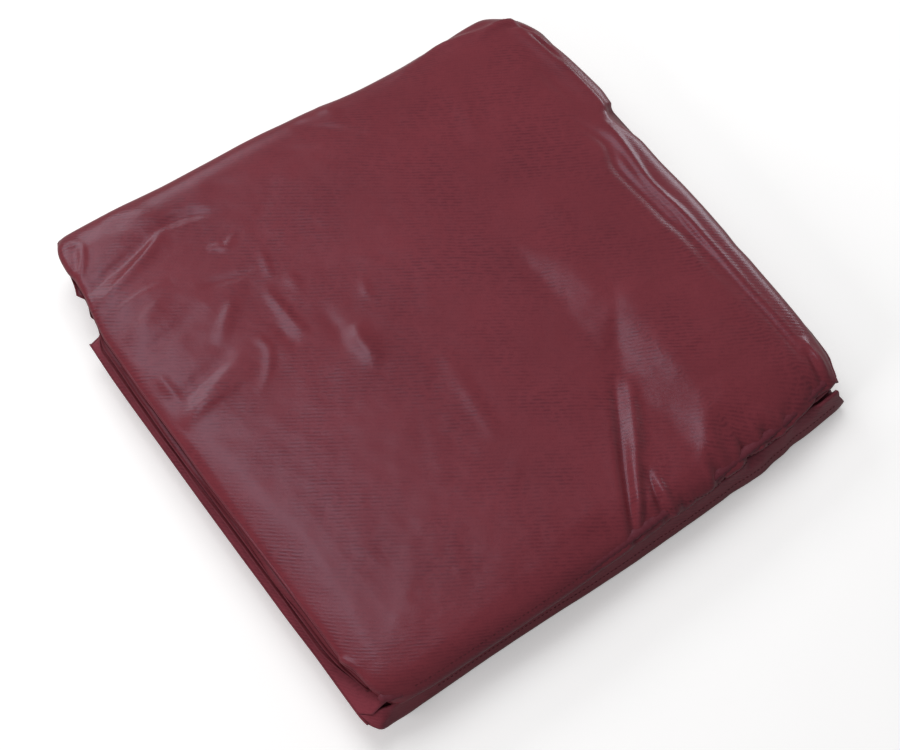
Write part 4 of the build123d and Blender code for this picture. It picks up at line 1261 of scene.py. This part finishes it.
def bottom_plies(levels, side_gap, end_gap, end_stagger, front_gap, y_high, first_seed):
    """Plies at the given levels of the stack; end_stagger(i) draws each +X edge further in."""
    grids = []
    for i in levels:
        z = 1.6 + 2.15 * i
        side_in = float(np.interp(z, BOTTOM_SIDE[::-1, 1], BOTTOM_SIDE[::-1, 0]))
        grids.append(ply(shifted(bottom_side_x, side_in + side_gap),
                         BOTTOM_END_X - end_gap - end_stagger(i),
                         shifted(BOTTOM_FRONT_Y, front_gap), y_high, z=z + 0.4,
                         seed=first_seed + i, wave=0.45, ragged=1.6))
    return grids


def build_bottom_leaf():
    leaf = "bottom_leaf"
    grid, n, outward = bottom_surface()
    cover = cloth_sheet("bottom_leaf_cover", grid, 0.6, outward)
    # lighter copy of the cloth, painted light
    add(cover, CLOTH_LOW_PAINTED_LIGHT, leaf, "bottom_leaf_outer_ply")
    add_plies(leaf, "panel", bottom_plies(
        (0, 1, 3, 6, 7, 9), side_gap=7, end_gap=1.0, end_stagger=lambda i: 1.2 * ((i * 5) % 3),
        front_gap=11, y_high=186.0, first_seed=90))
    add_plies(leaf, "skirt", bottom_plies(
        (2, 5, 8), side_gap=10, end_gap=4.0, end_stagger=lambda i: 1.0 * (i % 3),
        front_gap=12, y_high=92.0, first_seed=110))

    def hem_line(x):
        return np.stack([x, BOTTOM_FRONT_Y(x) + 6.2, 13.0 + 0.3 * np.sin(x / 10)], 1)

    band_x = np.linspace(-184, 184, 220)
    add_hem(leaf, hem_line, band_x, np.linspace(-178, 178, 180),
            ripples(band_x, 0.07, 5.4), radii=(3.6, 2.5))
    row = B_UNDER_ROW + 20
    out = n[22:-2, row]
    add_stitches(leaf, "lip", grid[22:-2, row] + out * 0.42, out)


# --------------------------------------------------------------------- fold creases
def fold_strip(place, y, x_low, x_high, fold_z, bulge, leaves, axis_x):
    """Strip bent round a fold: its lower edge goes with one leaf, its upper with the other."""
    count, half_height = 15, 0.45
    t = np.linspace(0, 1, count)[:, None]
    low_z, high_z = fold_z - half_height, fold_z + half_height
    x = mix(x_low, x_high, t) + bulge * np.sin(np.pi * t)
    z = low_z + (high_z - low_z) * t
    grid = np.stack(np.broadcast_arrays(x, y, z), 2)
    facing = np.sign(bulge)
    outward = np.sign((normals(grid)[count // 2, :, 0] * facing).sum())
    ob = cloth_sheet(f"{place}_fold_edge", grid, 0.4, outward)
    ob.data.materials.append(CLOTH)
    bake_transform(ob, *leaves, (axis_x * MM - 0.02 * facing, 0, low_z * MM),
             (axis_x * MM + 0.02 * facing, 0, low_z * MM))
    # the blend follows the strip round the fold
    weight = np.repeat(np.linspace(0, 1, count), len(y))
    weight = np.clip((weight - 0.06) / 0.88, 0, 1)
    blend_data = ob.data.attributes["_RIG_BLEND"].data
    blend_data.foreach_set("value", np.r_[weight, weight].astype(np.float32))
    ob.data.update()
    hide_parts(f"{place}_fold_crease")


def build_folds():
    y = np.linspace(-203.5, 130.6, 240)
    x = middle_side_x(y) + 0.7
    fold_strip("lower", y, x, x, LOWER_FOLD_Z, -0.9, ("bottom_leaf", "middle_leaf"),
               LOWER_FOLD_X)
    y = np.linspace(-196, 190, 260)
    fold_strip("upper", y, middle_fold_x(y) - 0.8, upper_fold_x(y) + top_fold_shift(y) - 0.8,
               UPPER_FOLD_Z, 0.8, ("middle_leaf", "top_leaf"), UPPER_FOLD_MID_X)


# ----------------------------------------------- floor, lights, camera (all in metres)
def build_floor():
    mesh = bpy.data.meshes.new("floor")
    mesh.from_pydata([(-4, -4, 0), (4, -4, 0), (4, 4, 0), (-4, 4, 0)], [], [(0, 1, 2, 3)])
    floor = bpy.data.objects.new("floor", mesh)
    bpy.context.scene.collection.objects.link(floor)
    mesh.materials.append(floor_material())


def area_light(name, location, target, size, power, color=(1.0, 1.0, 1.0), glossy=True):
    light = bpy.data.lights.new(name, "AREA")
    light.shape = "RECTANGLE"
    light.size, light.size_y = size
    light.energy = power
    light.color = color
    ob = bpy.data.objects.new(name, light)
    bpy.context.scene.collection.objects.link(ob)
    ob.location = location
    ob.rotation_mode = "QUATERNION"
    ob.rotation_quaternion = (Vector(target) - Vector(location)).to_track_quat("-Z", "Y")
    ob.visible_glossy = glossy


def build_lights():
    area_light("key_soft", (0.35, 0.55, 1.55), (0, 0, 0), size=(0.9, 0.9), power=7.1,
               color=(1.0, 0.985, 0.98), glossy=False)
    area_light("card_left", (-0.19, 0.68, 1.50), (-0.1, 0, 0), size=(0.50, 1.0), power=4.4)
    area_light("card_back", (-0.25, 1.75, 1.15), (-0.05, 0, 0), size=(1.5, 0.55), power=9.5)
    area_light("card_low", (1.70, 0.60, 0.42), (0.1, 0, 0), size=(0.6, 0.6), power=5.5)
    area_light("fill_left", (-1.7, -0.2, 0.8), (0, 0, 0), size=(0.8, 0.5), power=11.0,
               color=(1.0, 0.97, 0.97), glossy=False)


def build_world():
    scene = bpy.context.scene
    world = bpy.data.worlds.new("studio")
    scene.world = world
    world.use_nodes = True
    background = world.node_tree.nodes["Background"]
    background.inputs["Color"].default_value = (1, 1, 1, 1)
    background.inputs["Strength"].default_value = 0.22
    scene.view_settings.view_transform = "Standard"
    scene.view_settings.look = "None"


def build_camera():
    azimuth, elevation = math.radians(-35.744), math.radians(60.58)
    distance = 1.1
    target = Vector((-0.022032, -0.033927, 0.023))
    back = Vector((math.sin(azimuth) * math.cos(elevation),
                   -math.cos(azimuth) * math.cos(elevation), math.sin(elevation)))
    data = bpy.data.cameras.new("camera")
    camera = bpy.data.objects.new("camera", data)
    bpy.context.scene.collection.objects.link(camera)
    data.sensor_width = 36.0
    data.lens = 64.34696
    data.clip_start, data.clip_end = 0.05, 30
    camera.location = target + back * distance
    camera.rotation_mode = "QUATERNION"
    camera.rotation_quaternion = (-back).to_track_quat("-Z", "Y")
    bpy.context.scene.camera = camera


build_top_leaf()
build_middle_leaf()
build_bottom_leaf()
build_folds()
build_floor()
build_lights()
build_world()
build_camera()
